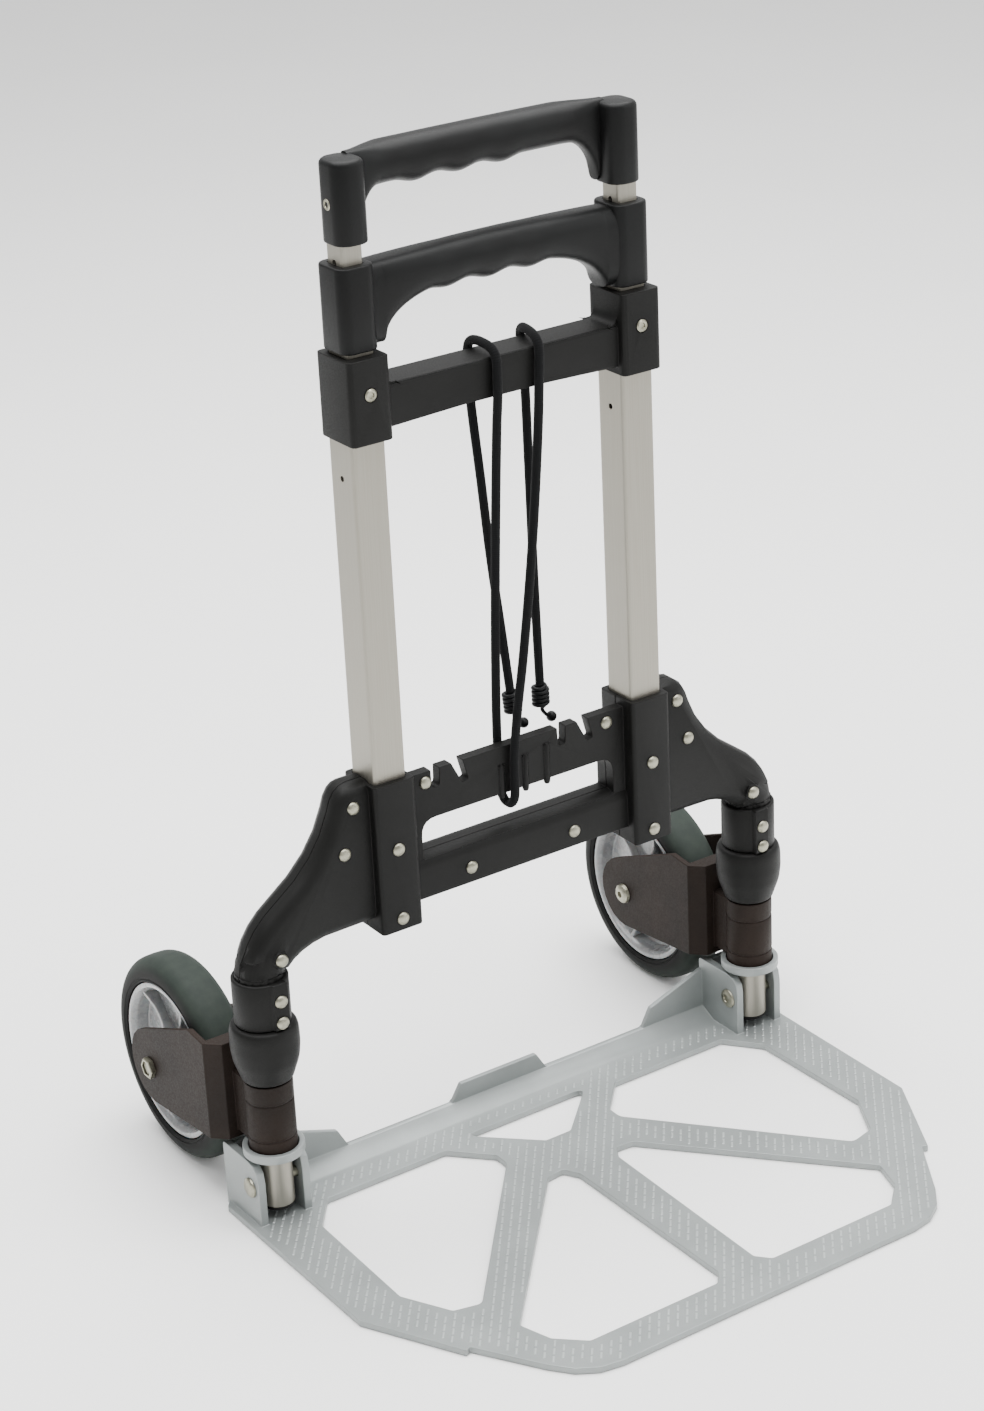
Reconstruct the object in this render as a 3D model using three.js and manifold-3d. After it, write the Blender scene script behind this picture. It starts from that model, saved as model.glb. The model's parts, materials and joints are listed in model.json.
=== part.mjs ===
// A folding aluminium hand truck: a ribbed toe plate hinged on two legs, two wheels on forks that swing in
// when the plate folds up, and a two-stage telescopic handle, with an elastic luggage cord on the frame.
// Millimetres, +Z up, +Y towards the wheels, +X to the right. The parts are drawn with z = 0 on the ground
// and y = 0 on the front face of the outer tubes; the whole group is moved at the end so that the origin is
// at the middle of the footprint.
import * as THREE from 'three';
import { mergeVertices } from 'three/addons/utils/BufferGeometryUtils.js';
import Module from 'manifold-3d';

const wasm = await Module();
wasm.setup();

// ---------- driving dimensions ----------
const GAP = 0.3; // clearance kept between pieces that touch
const WHEEL_SIDES = 32; // facets round a wheel
const ROUND_SIDES = 20; // facets round a leg or a collar
const SMALL_SIDES = 10; // facets round a fastener

const TUBE_X = 108.9; // half the distance between the two columns of tubes
const TUBE_WALL = 1.5;
const TUBE_CORNER = 2.5;
const TELESCOPE_GAP = 1.0; // space between one tube and the next inside it
const TELESCOPE_STEP = 2 * (TUBE_WALL + TELESCOPE_GAP);
const OUTER_TUBE = { w: 26, d: 29, bottom: 212, top: 612 };
const MID_TUBE = { w: OUTER_TUBE.w - TELESCOPE_STEP, d: OUTER_TUBE.d - TELESCOPE_STEP };
const INNER_TUBE = { w: MID_TUBE.w - TELESCOPE_STEP, d: MID_TUBE.d - TELESCOPE_STEP };
const HEAD_Z = OUTER_TUBE.top; // what sits at the top of the frame is placed from here
const MID_TUBE_BOTTOM = 276;
const MID_TUBE_TOP = HEAD_Z + 60;
const INNER_TUBE_BOTTOM = 300;
const INNER_TUBE_TOP = HEAD_Z + 126;
const STOP_HOLE_R = 2.2; // stop holes drilled across the tubes
const OUTER_STOP_Z = HEAD_Z - 77;
const INNER_STOP_Z = HEAD_Z + 68;
const PLUG_FLANGE = 4;
const PLUG_SPIGOT = 12;

const COLLAR = {
  w: OUTER_TUBE.w + 6, front: -7, rear: OUTER_TUBE.d + 4, bottom: HEAD_Z - 50.3, top: HEAD_Z + 7.3, corner: 4,
};
const CROSSBAR = {
  front: -1, rear: OUTER_TUBE.d - 1, bottom: HEAD_Z - 44.7, top: HEAD_Z - 14.5, arch: 3, fillet: 8, edge: 2.5,
};
const COLLAR_SCREW_Z = HEAD_Z - 17;

const BOX = { w: OUTER_TUBE.w + 7, front: -5.5, rear: 33.6, bottom: 204.4, top: 317.6, corner: 3 };
const PARTING_Y = 15; // plane where the two bracket shells meet
const UPPER_RAIL = { front: 6, bottom: 275.5, top: 311.8 };
const LOWER_RAIL = { front: 3.5, rear: 31, bottom: 216.4, top: 248, corner: 9 };
const SLOT_END_X = 82; // half length of the hand slot between the rails
const SLOT_CORNER = 12;
const NOTCH_PITCH = 107; // from the left pair of hook notches to the right pair
const NOTCH_X = -68.7; // first notch of the left pair
const RIB_X = [-14, 6.2, 24.6]; // cord guide ribs on the upper rail
const RIB_TOP = [299, 301, 304];
const RIB_BOTTOM = 271.5;
const RIB_R = 2.5;
const ARM = { front: 2.4, rear: 30, edge: 8 };
const ELBOW_R = 17.4;
const SPIGOT_BOTTOM = 166;
const RIVET_R = 2.3;
const RIVET_HEAD_R = 4.8;
const RIVET_HEAD_H = 2.2;
const BOX_RIVET_Z = [213.6, 267];
const ELBOW_RIVET = { x: 204.4, z: 211.3, seat: 0.6 }; // the flat seats stand proud by this much

const LEG_X = 213;
const LEG_Y = 17;
const LEG_R = 12;
const LEG_WALL = 1.8;
const LEG_TOP = 206;
const LEG_BOTTOM = 15;
const CLAMP = { r: 20, bottom: 161, top: 196.5 };
const CLAMP_BOSS = { x: 209.7, w: 12, front: -5 };
const CLAMP_RIVET_Z = [166.5, 183];
const BULGE = { r: 24.6, neck: 18, bottom: 116, top: 160.6, shoulder: 6, taper: 14 };
const CUP = { r: 22, bottom: 56, top: 62.5, floor: 2.4 };
const FOOT_CAP_H = 3;
const FOOT_CAP_SPIGOT = 8;

const PLATE_T = 5;
const PLATE_HALF_W = 239;
const PLATE_FRONT = -275;
const PLATE_REAR = 54;
const RIM_STEP = 4; // the rim is this much wider behind the two side notches
const BEVEL = { front: 36, top: 7, flange: 4 }; // raised rear edge: where it starts, its rise, its wall
const CENTRE_TAB = { foot: 47, head: 34, height: 21 };
const GUSSET = { foot: 130, knee: 142, kneeHeight: 22, height: 38 };
const CHEEK = { inner: 192, outer: 234, t: 6, front: 6, top: 53 };
const HINGE_Z = 32.5;
const HINGE_PIN_R = 4;
const HINGE_HEAD_R = 7.5;
const HINGE_HEAD_H = 2.5;

const WHEEL_R = 77.5;
const WHEEL_Y = 137.8;
const TYRE_W = 34.6;
const TYRE_SHOULDER = 12;
const RIM_R = 59.5;
const RIM_W = 32;
const RIM_WALL = 6;
const HUB_R = 14;
const HUB_W = 40;
const DISC_T = 5;
const SPOKES = 6;
const SPOKE_T = 4;
const AXLE_R = 5;
const SLEEVE_R = 7.5;
const AXLE_HEAD_R = 8;
const AXLE_HEAD_H = 4;

const BARREL = { r: 17.4, bottom: 59, top: 115, groove: 0.8, grooveH: 1.6, rings: [70, 99] };
const FORK = { halfW: 30, cheekT: 4.5, endR: 29, webFront: 27, chamfer: 10, webT: 13, bottom: 62, top: 137 };

const TOP_COLUMN = {
  w: INNER_TUBE.w + 8.6, d: INNER_TUBE.d + 9.6, corner: 10, inset: 1.6, bottom: HEAD_Z + 80.3, top: HEAD_Z + 135,
};
const TOP_GRIP = {
  z: HEAD_Z + 122.6, r: 14, arch: 0.6, fillet: { from: 70, to: 92, drop: 27 }, crests: [-46, -12, 22],
};
const MID_COLUMN = {
  w: MID_TUBE.w + 7, d: MID_TUBE.d + 8, corner: 8, inset: 0, bottom: HEAD_Z + 10, top: HEAD_Z + 67,
};
const MID_GRIP = {
  z: HEAD_Z + 53, r: 13.8, arch: 2.6, fillet: { from: 34, to: 88, drop: 28.4 }, crests: [-36, -3, 30],
};
const CREST_DEPTH = 3; // finger crests under both grips
const CREST_REACH = 16.5;
const GRIP_SIDES = 14;
const HANDLE_SCREW_R = 4;
const TOP_SCREW_Z = HEAD_Z + 106.5;
const MID_SCREW_Z = HEAD_Z + 18;

const CORD_R = 3.25;
const HOOK_COIL_R = 6.8;
const HOOK_COIL_H = 17;
const HOOK_WIRE_R = 1.6;
const HOOK_TIP_R = 4;

// ---------- materials ----------
const finish = (color, roughness, metalness) => () =>
  new THREE.MeshStandardMaterial({ color, roughness, metalness });
const anodised = finish(0xb1afa9, 0.4, 0.9);
const castGrey = finish(0xa7b0b1, 0.5, 0.6);
const blackPlastic = finish(0x26272a, 0.55, 0);
const nickel = finish(0xc9c8be, 0.3, 1);
const rubber = finish(0x3f4946, 0.8, 0);
const clearGrey = finish(0xb9babb, 0.35, 0);
const forkBlack = finish(0x322d2a, 0.6, 0);
const elastic = finish(0x1f2022, 0.8, 0);

// ---------- solids ----------
// A closed triangle mesh as a solid, with its shared corners merged.
function solid(geometry) {
  const bare = geometry.clone();
  bare.deleteAttribute('normal');
  bare.deleteAttribute('uv');
  const merged = mergeVertices(bare, 1e-4);
  return new wasm.Manifold(new wasm.Mesh({
    numProp: 3,
    vertProperties: new Float32Array(merged.attributes.position.array),
    triVerts: new Uint32Array(merged.index.array),
  }));
}

function union(...pieces) {
  return pieces.reduce((sum, piece) => sum.add(piece));
}

function cut(body, ...tools) {
  return tools.reduce((rest, tool) => rest.subtract(tool), body);
}

function geometryOf(body) {
  const { vertProperties, triVerts } = body.getMesh();
  const geometry = new THREE.BufferGeometry();
  geometry.setAttribute('position', new THREE.BufferAttribute(new Float32Array(vertProperties), 3));
  geometry.setIndex(new THREE.BufferAttribute(new Uint32Array(triVerts), 1));
  return geometry;
}

const truck = new THREE.Group();

function place(name, body, material) {
  const mesh = new THREE.Mesh(geometryOf(body), material());
  mesh.name = name;
  truck.add(mesh);
}

// ---------- shapes ----------
function block(x0, x1, y0, y1, z0, z1) {
  const box = new THREE.BoxGeometry(x1 - x0, y1 - y0, z1 - z0);
  return solid(box.translate((x0 + x1) / 2, (y0 + y1) / 2, (z0 + z1) / 2));
}

// A closed outline through the given corners, each rounded by an arc of radius r.
function roundedPolygon(corners, r) {
  const shape = new THREE.Path();
  const count = corners.length;
  corners.forEach(([x, y, own = r], i) => {
    const here = new THREE.Vector2(x, y);
    const before = new THREE.Vector2(...corners[(i + count - 1) % count]).sub(here);
    const after = new THREE.Vector2(...corners[(i + 1) % count]).sub(here);
    const half = Math.abs(before.angleTo(after)) / 2;
    const room = Math.min(before.length(), after.length()) * 0.49;
    const reach = Math.min(own / Math.tan(half), room);
    const start = before.normalize().multiplyScalar(reach).add(here);
    const end = after.normalize().multiplyScalar(reach).add(here);
    if (i === 0) shape.moveTo(start.x, start.y);
    else shape.lineTo(start.x, start.y);
    if (reach > 0) shape.quadraticCurveTo(here.x, here.y, end.x, end.y);
  });
  shape.closePath();
  return shape;
}

function rectangle(x0, x1, y0, y1, r) {
  return roundedPolygon([[x0, y0], [x1, y0], [x1, y1], [x0, y1]], r);
}

// An outline, less any holes, drawn straight up from z0 to z1. The outline's steps per curve are few.
function prism(outline, z0, z1, holes = [], steps = 3, bevel = 0) {
  const shape = new THREE.Shape(outline.getPoints(steps));
  shape.holes = holes.map((hole) => new THREE.Path(hole.getPoints(steps)));
  const options = { depth: z1 - z0 - 2 * bevel, steps: 1, bevelEnabled: bevel > 0 };
  Object.assign(options, { bevelThickness: bevel, bevelSize: bevel, bevelOffset: -bevel, bevelSegments: 2 });
  return new THREE.ExtrudeGeometry(shape, options).translate(0, 0, z0 + bevel);
}

function upright(outline, z0, z1, holes, steps) {
  return solid(prism(outline, z0, z1, holes, steps));
}

// The same for an outline seen from the front (x, z), drawn from y0 back to y1.
function frontal(outline, y0, y1, holes = [], steps = 3, bevel = 0) {
  return solid(prism(outline, 0, y1 - y0, holes, steps, bevel).rotateX(Math.PI / 2).translate(0, y1, 0));
}

// The same for an outline seen from the side (y, z), drawn from x0 to x1.
function sideways(outline, x0, x1, holes = [], steps = 3, bevel = 0) {
  const turn = new THREE.Matrix4().makeBasis(
    new THREE.Vector3(0, 1, 0),
    new THREE.Vector3(0, 0, 1),
    new THREE.Vector3(1, 0, 0),
  );
  return solid(prism(outline, x0, x1, holes, steps, bevel).applyMatrix4(turn));
}

// A turned piece: a profile of [radius, height] corners, closed on itself, about the Z axis.
function turned(profile, sides = ROUND_SIDES) {
  const points = profile.map(([radius, height]) => new THREE.Vector2(radius, height));
  const ring = points.concat(points[0].clone());
  if (THREE.ShapeUtils.area(points) < 0) ring.reverse();
  return new THREE.LatheGeometry(ring, sides).rotateX(Math.PI / 2);
}

function turnedUp(profile, x, y, sides) {
  return solid(turned(profile, sides).translate(x, y, 0));
}

function turnedAlongX(profile, y, z, sides) {
  return solid(turned(profile, sides).rotateY(Math.PI / 2).translate(0, y, z));
}

// Heights in the profile run backwards along +Y.
function turnedAlongY(profile, x, z, sides) {
  return solid(turned(profile, sides).rotateX(-Math.PI / 2).translate(x, 0, z));
}

function ringProfile(inner, outer, z0, z1) {
  return [[inner, z0], [outer, z0], [outer, z1], [inner, z1]];
}

function rod(r, x, y, z0, z1, sides = ROUND_SIDES) {
  return turnedUp([[0, z0], [r, z0], [r, z1], [0, z1]], x, y, sides);
}

function rodAlongX(r, x0, x1, y, z, sides = SMALL_SIDES) {
  return turnedAlongX([[0, x0], [r, x0], [r, x1], [0, x1]], y, z, sides);
}

function rodAlongY(r, y0, y1, x, z, sides = SMALL_SIDES) {
  return turnedAlongY([[0, y0], [r, y0], [r, y1], [0, y1]], x, z, sides);
}

// A round bar of radius r along a smooth curve.
function bar(curve, r, steps, sides = 10) {
  const section = new THREE.Shape();
  for (let i = 0; i < sides; i += 1) {
    const angle = (i / sides) * 2 * Math.PI;
    const move = i === 0 ? 'moveTo' : 'lineTo';
    section[move](r * Math.cos(angle), r * Math.sin(angle));
  }
  section.closePath();
  return solid(new THREE.ExtrudeGeometry(section, { steps, bevelEnabled: false, extrudePath: curve }));
}

// The points of one ring, from a function of the cosine and sine of the way round.
function ringAt(count, point) {
  return Array.from({ length: count }, (_, i) => {
    const angle = ((i + 0.5) / count) * 2 * Math.PI;
    return point(Math.cos(angle), Math.sin(angle));
  });
}

// A closed solid skinned over rings that each have as many points and turn the same way.
function loft(rings) {
  const count = rings[0].length;
  const last = (rings.length - 1) * count;
  const faces = [];
  for (let i = 0; i + 1 < rings.length; i += 1) {
    for (let j = 0; j < count; j += 1) {
      const next = (j + 1) % count;
      const [a, b] = [i * count + j, i * count + next];
      faces.push(a, b, b + count, a, b + count, a + count);
    }
  }
  for (let j = 1; j + 1 < count; j += 1) {
    faces.push(0, j + 1, j, last, last + j, last + j + 1);
  }
  const geometry = new THREE.BufferGeometry();
  geometry.setFromPoints(rings.flat());
  geometry.setIndex(faces);
  return solid(geometry);
}

// A smooth curve whose steps are shared evenly between its points, so tight bends get more of them.
class KnottedCurve extends THREE.CatmullRomCurve3 {
  getSpacedPoints(steps) {
    return this.getPoints(steps);
  }

  getTangentAt(t, target) {
    return this.getTangent(t, target);
  }
}

function smoothPath(points) {
  return new KnottedCurve(points.map((point) => new THREE.Vector3(...point)), false, 'centripetal');
}

// A domed head on a shank, with a second head at the far end when tail is given.
function rivetProfile(front, back, tail) {
  const dome = [1, 0.75, 0].map((share) => [
    RIVET_HEAD_R * share,
    RIVET_HEAD_H * Math.sqrt(1 - share ** 2),
  ]);
  const head = dome.map(([r, rise]) => [r, front - rise]);
  const end = tail
    ? dome.map(([r, rise]) => [r, back + rise]).reverse()
    : [[0, back], [RIVET_R, back]];
  const shankEnd = tail ? [[RIVET_R, back]] : [];
  return [...head.reverse(), [RIVET_R, front], ...shankEnd, ...end.reverse()];
}

// ---------- tubes ----------
function tubeSection(size, offset) {
  const half = { w: size.w / 2 + offset, d: size.d / 2 + offset };
  const y = OUTER_TUBE.d / 2;
  const corner = Math.max(TUBE_CORNER + offset, 0.4);
  return (x) => rectangle(x - half.w, x + half.w, y - half.d, y + half.d, corner);
}

const TUBE_Y = OUTER_TUBE.d / 2;

function tube(size, x, z0, z1) {
  return upright(tubeSection(size, 0)(x), z0, z1, [tubeSection(size, -TUBE_WALL)(x)]);
}

function crossHole(x, z) {
  return rodAlongX(STOP_HOLE_R, x - OUTER_TUBE.w, x + OUTER_TUBE.w, TUBE_Y, z);
}

// A plastic slide plug in the lower end of a telescopic tube.
function endPlug(size, x, tubeBottom) {
  const flange = tubeSection(size, TELESCOPE_GAP - GAP)(x);
  const spigot = tubeSection(size, -TUBE_WALL - GAP)(x);
  const z = tubeBottom - GAP;
  return union(upright(flange, z - PLUG_FLANGE, z), upright(spigot, z - 1, z + PLUG_SPIGOT));
}

function countersunkScrew(r, depth) {
  return [[0, 0], [r * 0.8, 0], [r, 0.7], [r, 1.2], [r * 0.45, 1.8], [r * 0.45, depth], [0, depth]];
}

function collarScrew(x) {
  const profile = countersunkScrew(4.6, 7.6).map(([r, h]) => [r, h + COLLAR.front - 1.3]);
  return turnedAlongY(profile, x, COLLAR_SCREW_Z, SMALL_SIDES);
}

function tubesOn(side, x) {
  const rivetHoles = BOX_RIVET_Z.map((z) => rodAlongY(RIVET_R + GAP, -9, 40, x, z));
  const outer = cut(tube(OUTER_TUBE, x, OUTER_TUBE.bottom, OUTER_TUBE.top), crossHole(x, OUTER_STOP_Z));
  place(`outer_tube_${side}`, cut(outer, ...rivetHoles), anodised);
  place(`mid_tube_${side}`, tube(MID_TUBE, x, MID_TUBE_BOTTOM, MID_TUBE_TOP), anodised);
  place(`mid_tube_plug_${side}`, endPlug(MID_TUBE, x, MID_TUBE_BOTTOM), blackPlastic);
  const inner = cut(tube(INNER_TUBE, x, INNER_TUBE_BOTTOM, INNER_TUBE_TOP), crossHole(x, INNER_STOP_Z));
  place(`inner_tube_${side}`, inner, anodised);
  place(`inner_tube_plug_${side}`, endPlug(INNER_TUBE, x, INNER_TUBE_BOTTOM), blackPlastic);
}

// ---------- upper crossbar with its two collars ----------
function crossbar() {
  const { front, rear, bottom, top, arch, fillet, edge } = CROSSBAR;
  const reach = TUBE_X - COLLAR.w / 2 + 2;
  const flare = TUBE_X - COLLAR.w / 2;
  const side = new THREE.Path();
  side.moveTo(-reach, bottom);
  side.quadraticCurveTo(0, bottom + 2 * arch, reach, bottom);
  side.lineTo(reach, top + 1);
  side.lineTo(-reach, top + 1);
  side.closePath();
  const section = rectangle(front, rear, bottom, top, edge);
  const beam = sideways(section, -reach, reach).intersect(frontal(side, front - 1, rear + 1, [], 6));
  const corner = new THREE.Path();
  corner.moveTo(reach, top - edge);
  corner.lineTo(reach, top + fillet);
  corner.lineTo(flare, top + fillet);
  corner.quadraticCurveTo(flare, top, flare - fillet, top - 0.2);
  corner.lineTo(flare - fillet, top - edge);
  corner.closePath();
  const wedge = frontal(corner, front + 1, rear - 1, [], 5);
  const collars = [-TUBE_X, TUBE_X].map((x) => {
    const outline = rectangle(x - COLLAR.w / 2, x + COLLAR.w / 2, COLLAR.front, COLLAR.rear, COLLAR.corner);
    return upright(outline, COLLAR.bottom, COLLAR.top);
  });
  const bores = [-TUBE_X, TUBE_X].flatMap((x) => [
    upright(tubeSection(OUTER_TUBE, GAP)(x), COLLAR.bottom - 1, OUTER_TUBE.top + GAP),
    upright(tubeSection(MID_TUBE, GAP)(x), COLLAR.bottom, COLLAR.top + 1),
    rodAlongY(4.6 + GAP, COLLAR.front - 2, COLLAR.front + 1.2, x, COLLAR_SCREW_Z, SMALL_SIDES),
    rodAlongY(2.1 + GAP, COLLAR.front, 0, x, COLLAR_SCREW_Z, SMALL_SIDES),
  ]);
  return cut(union(beam, wedge, mirrored(wedge), ...collars), ...bores);
}

// ---------- lower bracket: two shells riveted round the tubes and the legs ----------
function armOutline() {
  const outline = new THREE.Path();
  outline.moveTo(TUBE_X, 213.4);
  outline.lineTo(166, 212.4);
  outline.quadraticCurveTo(186, 210, 195.6, 199);
  outline.lineTo(213, 199);
  outline.lineTo(226, 212);
  outline.quadraticCurveTo(219, 233, 197, 247);
  outline.quadraticCurveTo(163, 269, 152.4, 301);
  outline.quadraticCurveTo(147.6, 319.4, 136, 319.4);
  outline.lineTo(TUBE_X, 319.4);
  outline.closePath();
  return outline;
}

// The arm swells into a round elbow that comes down over the leg.
function elbow() {
  const path = smoothPath([[158, LEG_Y, 246], [176, LEG_Y, 239], [194, LEG_Y, 228], [207, LEG_Y, 213],
    [LEG_X, LEG_Y, 200], [LEG_X, LEG_Y, 196]]);
  const across = new THREE.Vector3(0, 1, 0);
  const swell = [[0, 0.45], [0.2, 0.64], [0.4, 0.82], [0.6, 0.98], [0.75, 1], [0.88, 0.99], [1, 0.95]];
  const rings = swell.map(([t, share]) => {
    const centre = path.getPoint(t);
    const rising = path.getTangent(t).cross(across);
    const r = ELBOW_R * share;
    return ringAt(ROUND_SIDES, (cos, sin) => (
      centre.clone().addScaledVector(across, r * cos).addScaledVector(rising, r * sin)
    ));
  });
  const spigot = rod(ELBOW_R, LEG_X, LEG_Y, SPIGOT_BOTTOM, 200);
  const { x, z, seat } = ELBOW_RIVET;
  const reach = ELBOW_R + seat;
  const seats = rodAlongY(RIVET_HEAD_R + 1.2, LEG_Y - reach, LEG_Y + reach, x, z, ROUND_SIDES);
  return union(loft(rings), spigot, seats);
}

function mirrored(geometryBody) {
  return geometryBody.mirror([1, 0, 0]);
}

function hookNotches(shift) {
  const round = roundedPolygon([[-3, 0], [3, 0], [4, 30], [-4, 30]], 2.8);
  const x = NOTCH_X + shift;
  const rounded = frontal(round, UPPER_RAIL.front - 1, PARTING_Y + 1).translate([x, 0, 293 + 5]);
  const slanted = roundedPolygon([[22, 0], [27, 1], [19.5, 30], [9, 30], [14, 16]], 1.4);
  return rounded.add(frontal(slanted, UPPER_RAIL.front - 1, PARTING_Y + 1).translate([x, 0, 291 + 4]));
}

function upperRail() {
  const reach = TUBE_X - BOX.w / 2 + 2;
  const { front, bottom, top } = UPPER_RAIL;
  const face = roundedPolygon([[-reach, bottom], [reach, bottom], [reach, top], [-reach, top]], 0.5);
  const web = frontal(face, front, PARTING_Y - GAP / 2, [], 3);
  const ribs = RIB_X.map((x, i) => {
    const end = RIB_R * 0.7;
    return turnedUp([
      [0, RIB_BOTTOM], [end, RIB_BOTTOM + RIB_R - end], [RIB_R, RIB_BOTTOM + RIB_R],
      [RIB_R, RIB_TOP[i] - RIB_R], [end, RIB_TOP[i] - RIB_R + end], [0, RIB_TOP[i]],
    ], x, front + RIB_R - 2, SMALL_SIDES);
  });
  return cut(union(web, ...ribs), hookNotches(0), hookNotches(NOTCH_PITCH));
}

function lowerRail() {
  const { front, rear, bottom, top, corner } = LOWER_RAIL;
  const section = roundedPolygon([
    [front, bottom, 2], [rear, bottom, 3], [rear, top, corner], [front, top, corner],
  ], corner);
  const reach = TUBE_X - BOX.w / 2 + 2;
  return sideways(section, -reach, reach, [], 4);
}

// The web that joins the rails beside each end of the slot.
function slotEnds() {
  const reach = TUBE_X - BOX.w / 2 + 2;
  const inside = SLOT_END_X;
  const outline = (side) => {
    const face = new THREE.Path();
    const { bottom } = UPPER_RAIL;
    face.moveTo(side * reach, LOWER_RAIL.top - 12);
    face.lineTo(side * reach, bottom + 2);
    face.lineTo(side * (inside - SLOT_CORNER), bottom + 2);
    face.lineTo(side * (inside - SLOT_CORNER), bottom);
    face.quadraticCurveTo(side * inside, bottom, side * inside, bottom - SLOT_CORNER);
    face.lineTo(side * inside, LOWER_RAIL.top - 12);
    face.closePath();
    return face;
  };
  return [-1, 1].map((side) => frontal(outline(side), UPPER_RAIL.front, 26, [], 5));
}

function bracketBody() {
  const arm = frontal(armOutline(), ARM.front, ARM.rear, [], 4, ARM.edge).add(elbow());
  const boxes = [-TUBE_X, TUBE_X].map((x) => {
    const outline = rectangle(x - BOX.w / 2, x + BOX.w / 2, BOX.front, BOX.rear, BOX.corner);
    return upright(outline, BOX.bottom, BOX.top);
  });
  return union(arm, mirrored(arm), ...boxes, lowerRail(), ...slotEnds(), upperRail());
}

function bracketBores() {
  return [-1, 1].flatMap((side) => [
    upright(tubeSection(OUTER_TUBE, GAP)(side * TUBE_X), OUTER_TUBE.bottom - GAP, BOX.top + 20),
    rod(LEG_R + GAP, side * LEG_X, LEG_Y, SPIGOT_BOTTOM - 1, LEG_TOP + GAP),
    ...BOX_RIVET_Z.map((z) => rodAlongY(RIVET_R + GAP, -20, 50, side * TUBE_X, z, 12)),
    rodAlongY(RIVET_R + GAP, -20, 50, side * ELBOW_RIVET.x, ELBOW_RIVET.z),
  ]);
}

function bracketShells() {
  const whole = cut(bracketBody(), ...bracketBores());
  const wide = 260;
  const frontHalf = block(-wide, wide, -40, PARTING_Y - GAP / 2, 100, 400);
  const rearHalf = block(-wide, wide, PARTING_Y + GAP / 2, 80, 100, 400);
  place('lower_bracket_front', whole.intersect(frontHalf), blackPlastic);
  place('lower_bracket_rear', whole.intersect(rearHalf), blackPlastic);
}

// ---------- legs ----------
function legTube(x) {
  const wall = turnedUp(ringProfile(LEG_R - LEG_WALL, LEG_R, LEG_BOTTOM, LEG_TOP), x, LEG_Y);
  const pinHole = rodAlongX(HINGE_PIN_R + GAP, x - 20, x + 20, LEG_Y, HINGE_Z);
  return cut(wall, pinHole);
}

function legClamp(x) {
  const bossX = Math.sign(x) * CLAMP_BOSS.x;
  const ring = rod(CLAMP.r, x, LEG_Y, CLAMP.bottom, CLAMP.top);
  const boss = block(
    bossX - CLAMP_BOSS.w / 2, bossX + CLAMP_BOSS.w / 2,
    CLAMP_BOSS.front, LEG_Y - LEG_R - 2, CLAMP.bottom, CLAMP.top,
  );
  const spigotBore = rod(ELBOW_R + GAP, x, LEG_Y, SPIGOT_BOTTOM - GAP, CLAMP.top + 1);
  const legBore = rod(LEG_R + GAP, x, LEG_Y, CLAMP.bottom - 1, CLAMP.top);
  const rivetSeats = CLAMP_RIVET_Z.map((z) => rodAlongY(RIVET_R + GAP, -20, -0.6, bossX, z));
  return cut(ring.add(boss), spigotBore, legBore, ...rivetSeats);
}

function legBulge(x) {
  const { r, neck, bottom, top, shoulder, taper } = BULGE;
  const bore = LEG_R + GAP;
  return turnedUp([
    [bore, bottom], [neck, bottom], [neck + 1, bottom + 3], [r, bottom + taper], [r, top - shoulder],
    [r - 1.5, top], [bore, top],
  ], x, LEG_Y);
}

function legCup(x) {
  const { r, bottom, top, floor } = CUP;
  const rim = BARREL.r + GAP + 0.3;
  return turnedUp([
    [LEG_R + GAP, bottom], [r, bottom], [r, top], [rim, top], [rim, bottom + floor],
    [LEG_R + GAP, bottom + floor],
  ], x, LEG_Y);
}

function footCap(x) {
  const spigot = LEG_R - LEG_WALL - GAP;
  const z = LEG_BOTTOM - GAP;
  return turnedUp([
    [0, z - FOOT_CAP_H], [LEG_R - 1, z - FOOT_CAP_H], [LEG_R, z - FOOT_CAP_H + 1], [LEG_R, z],
    [spigot, z], [spigot, z + FOOT_CAP_SPIGOT], [0, z + FOOT_CAP_SPIGOT],
  ], x, LEG_Y);
}

function legOn(side, sign) {
  const x = sign * LEG_X;
  place(`leg_tube_${side}`, legTube(x), anodised);
  place(`leg_clamp_${side}`, legClamp(x), blackPlastic);
  place(`leg_collar_${side}`, legBulge(x), blackPlastic);
  place(`leg_cup_${side}`, legCup(x), castGrey);
  place(`leg_foot_cap_${side}`, footCap(x), blackPlastic);
}

// ---------- fasteners on the frame ----------
function frameRivets(side, sign) {
  const names = ['lower', 'upper'];
  BOX_RIVET_Z.forEach((z, i) => {
    const profile = rivetProfile(BOX.front - GAP, BOX.rear + GAP, true);
    place(`tube_rivet_${names[i]}_${side}`, turnedAlongY(profile, sign * TUBE_X, z, SMALL_SIDES), nickel);
  });
  const reach = ELBOW_R + ELBOW_RIVET.seat + GAP;
  const elbowProfile = rivetProfile(LEG_Y - reach, LEG_Y + reach, true);
  const elbowRivet = turnedAlongY(elbowProfile, sign * ELBOW_RIVET.x, ELBOW_RIVET.z, SMALL_SIDES);
  place(`elbow_rivet_${side}`, elbowRivet, nickel);
  CLAMP_RIVET_Z.forEach((z, i) => {
    const profile = rivetProfile(CLAMP_BOSS.front - GAP, -1, false);
    place(`clamp_rivet_${names[i]}_${side}`, turnedAlongY(profile, sign * CLAMP_BOSS.x, z, SMALL_SIDES), nickel);
  });
  place(`collar_screw_${side}`, collarScrew(sign * TUBE_X), nickel);
}

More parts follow.
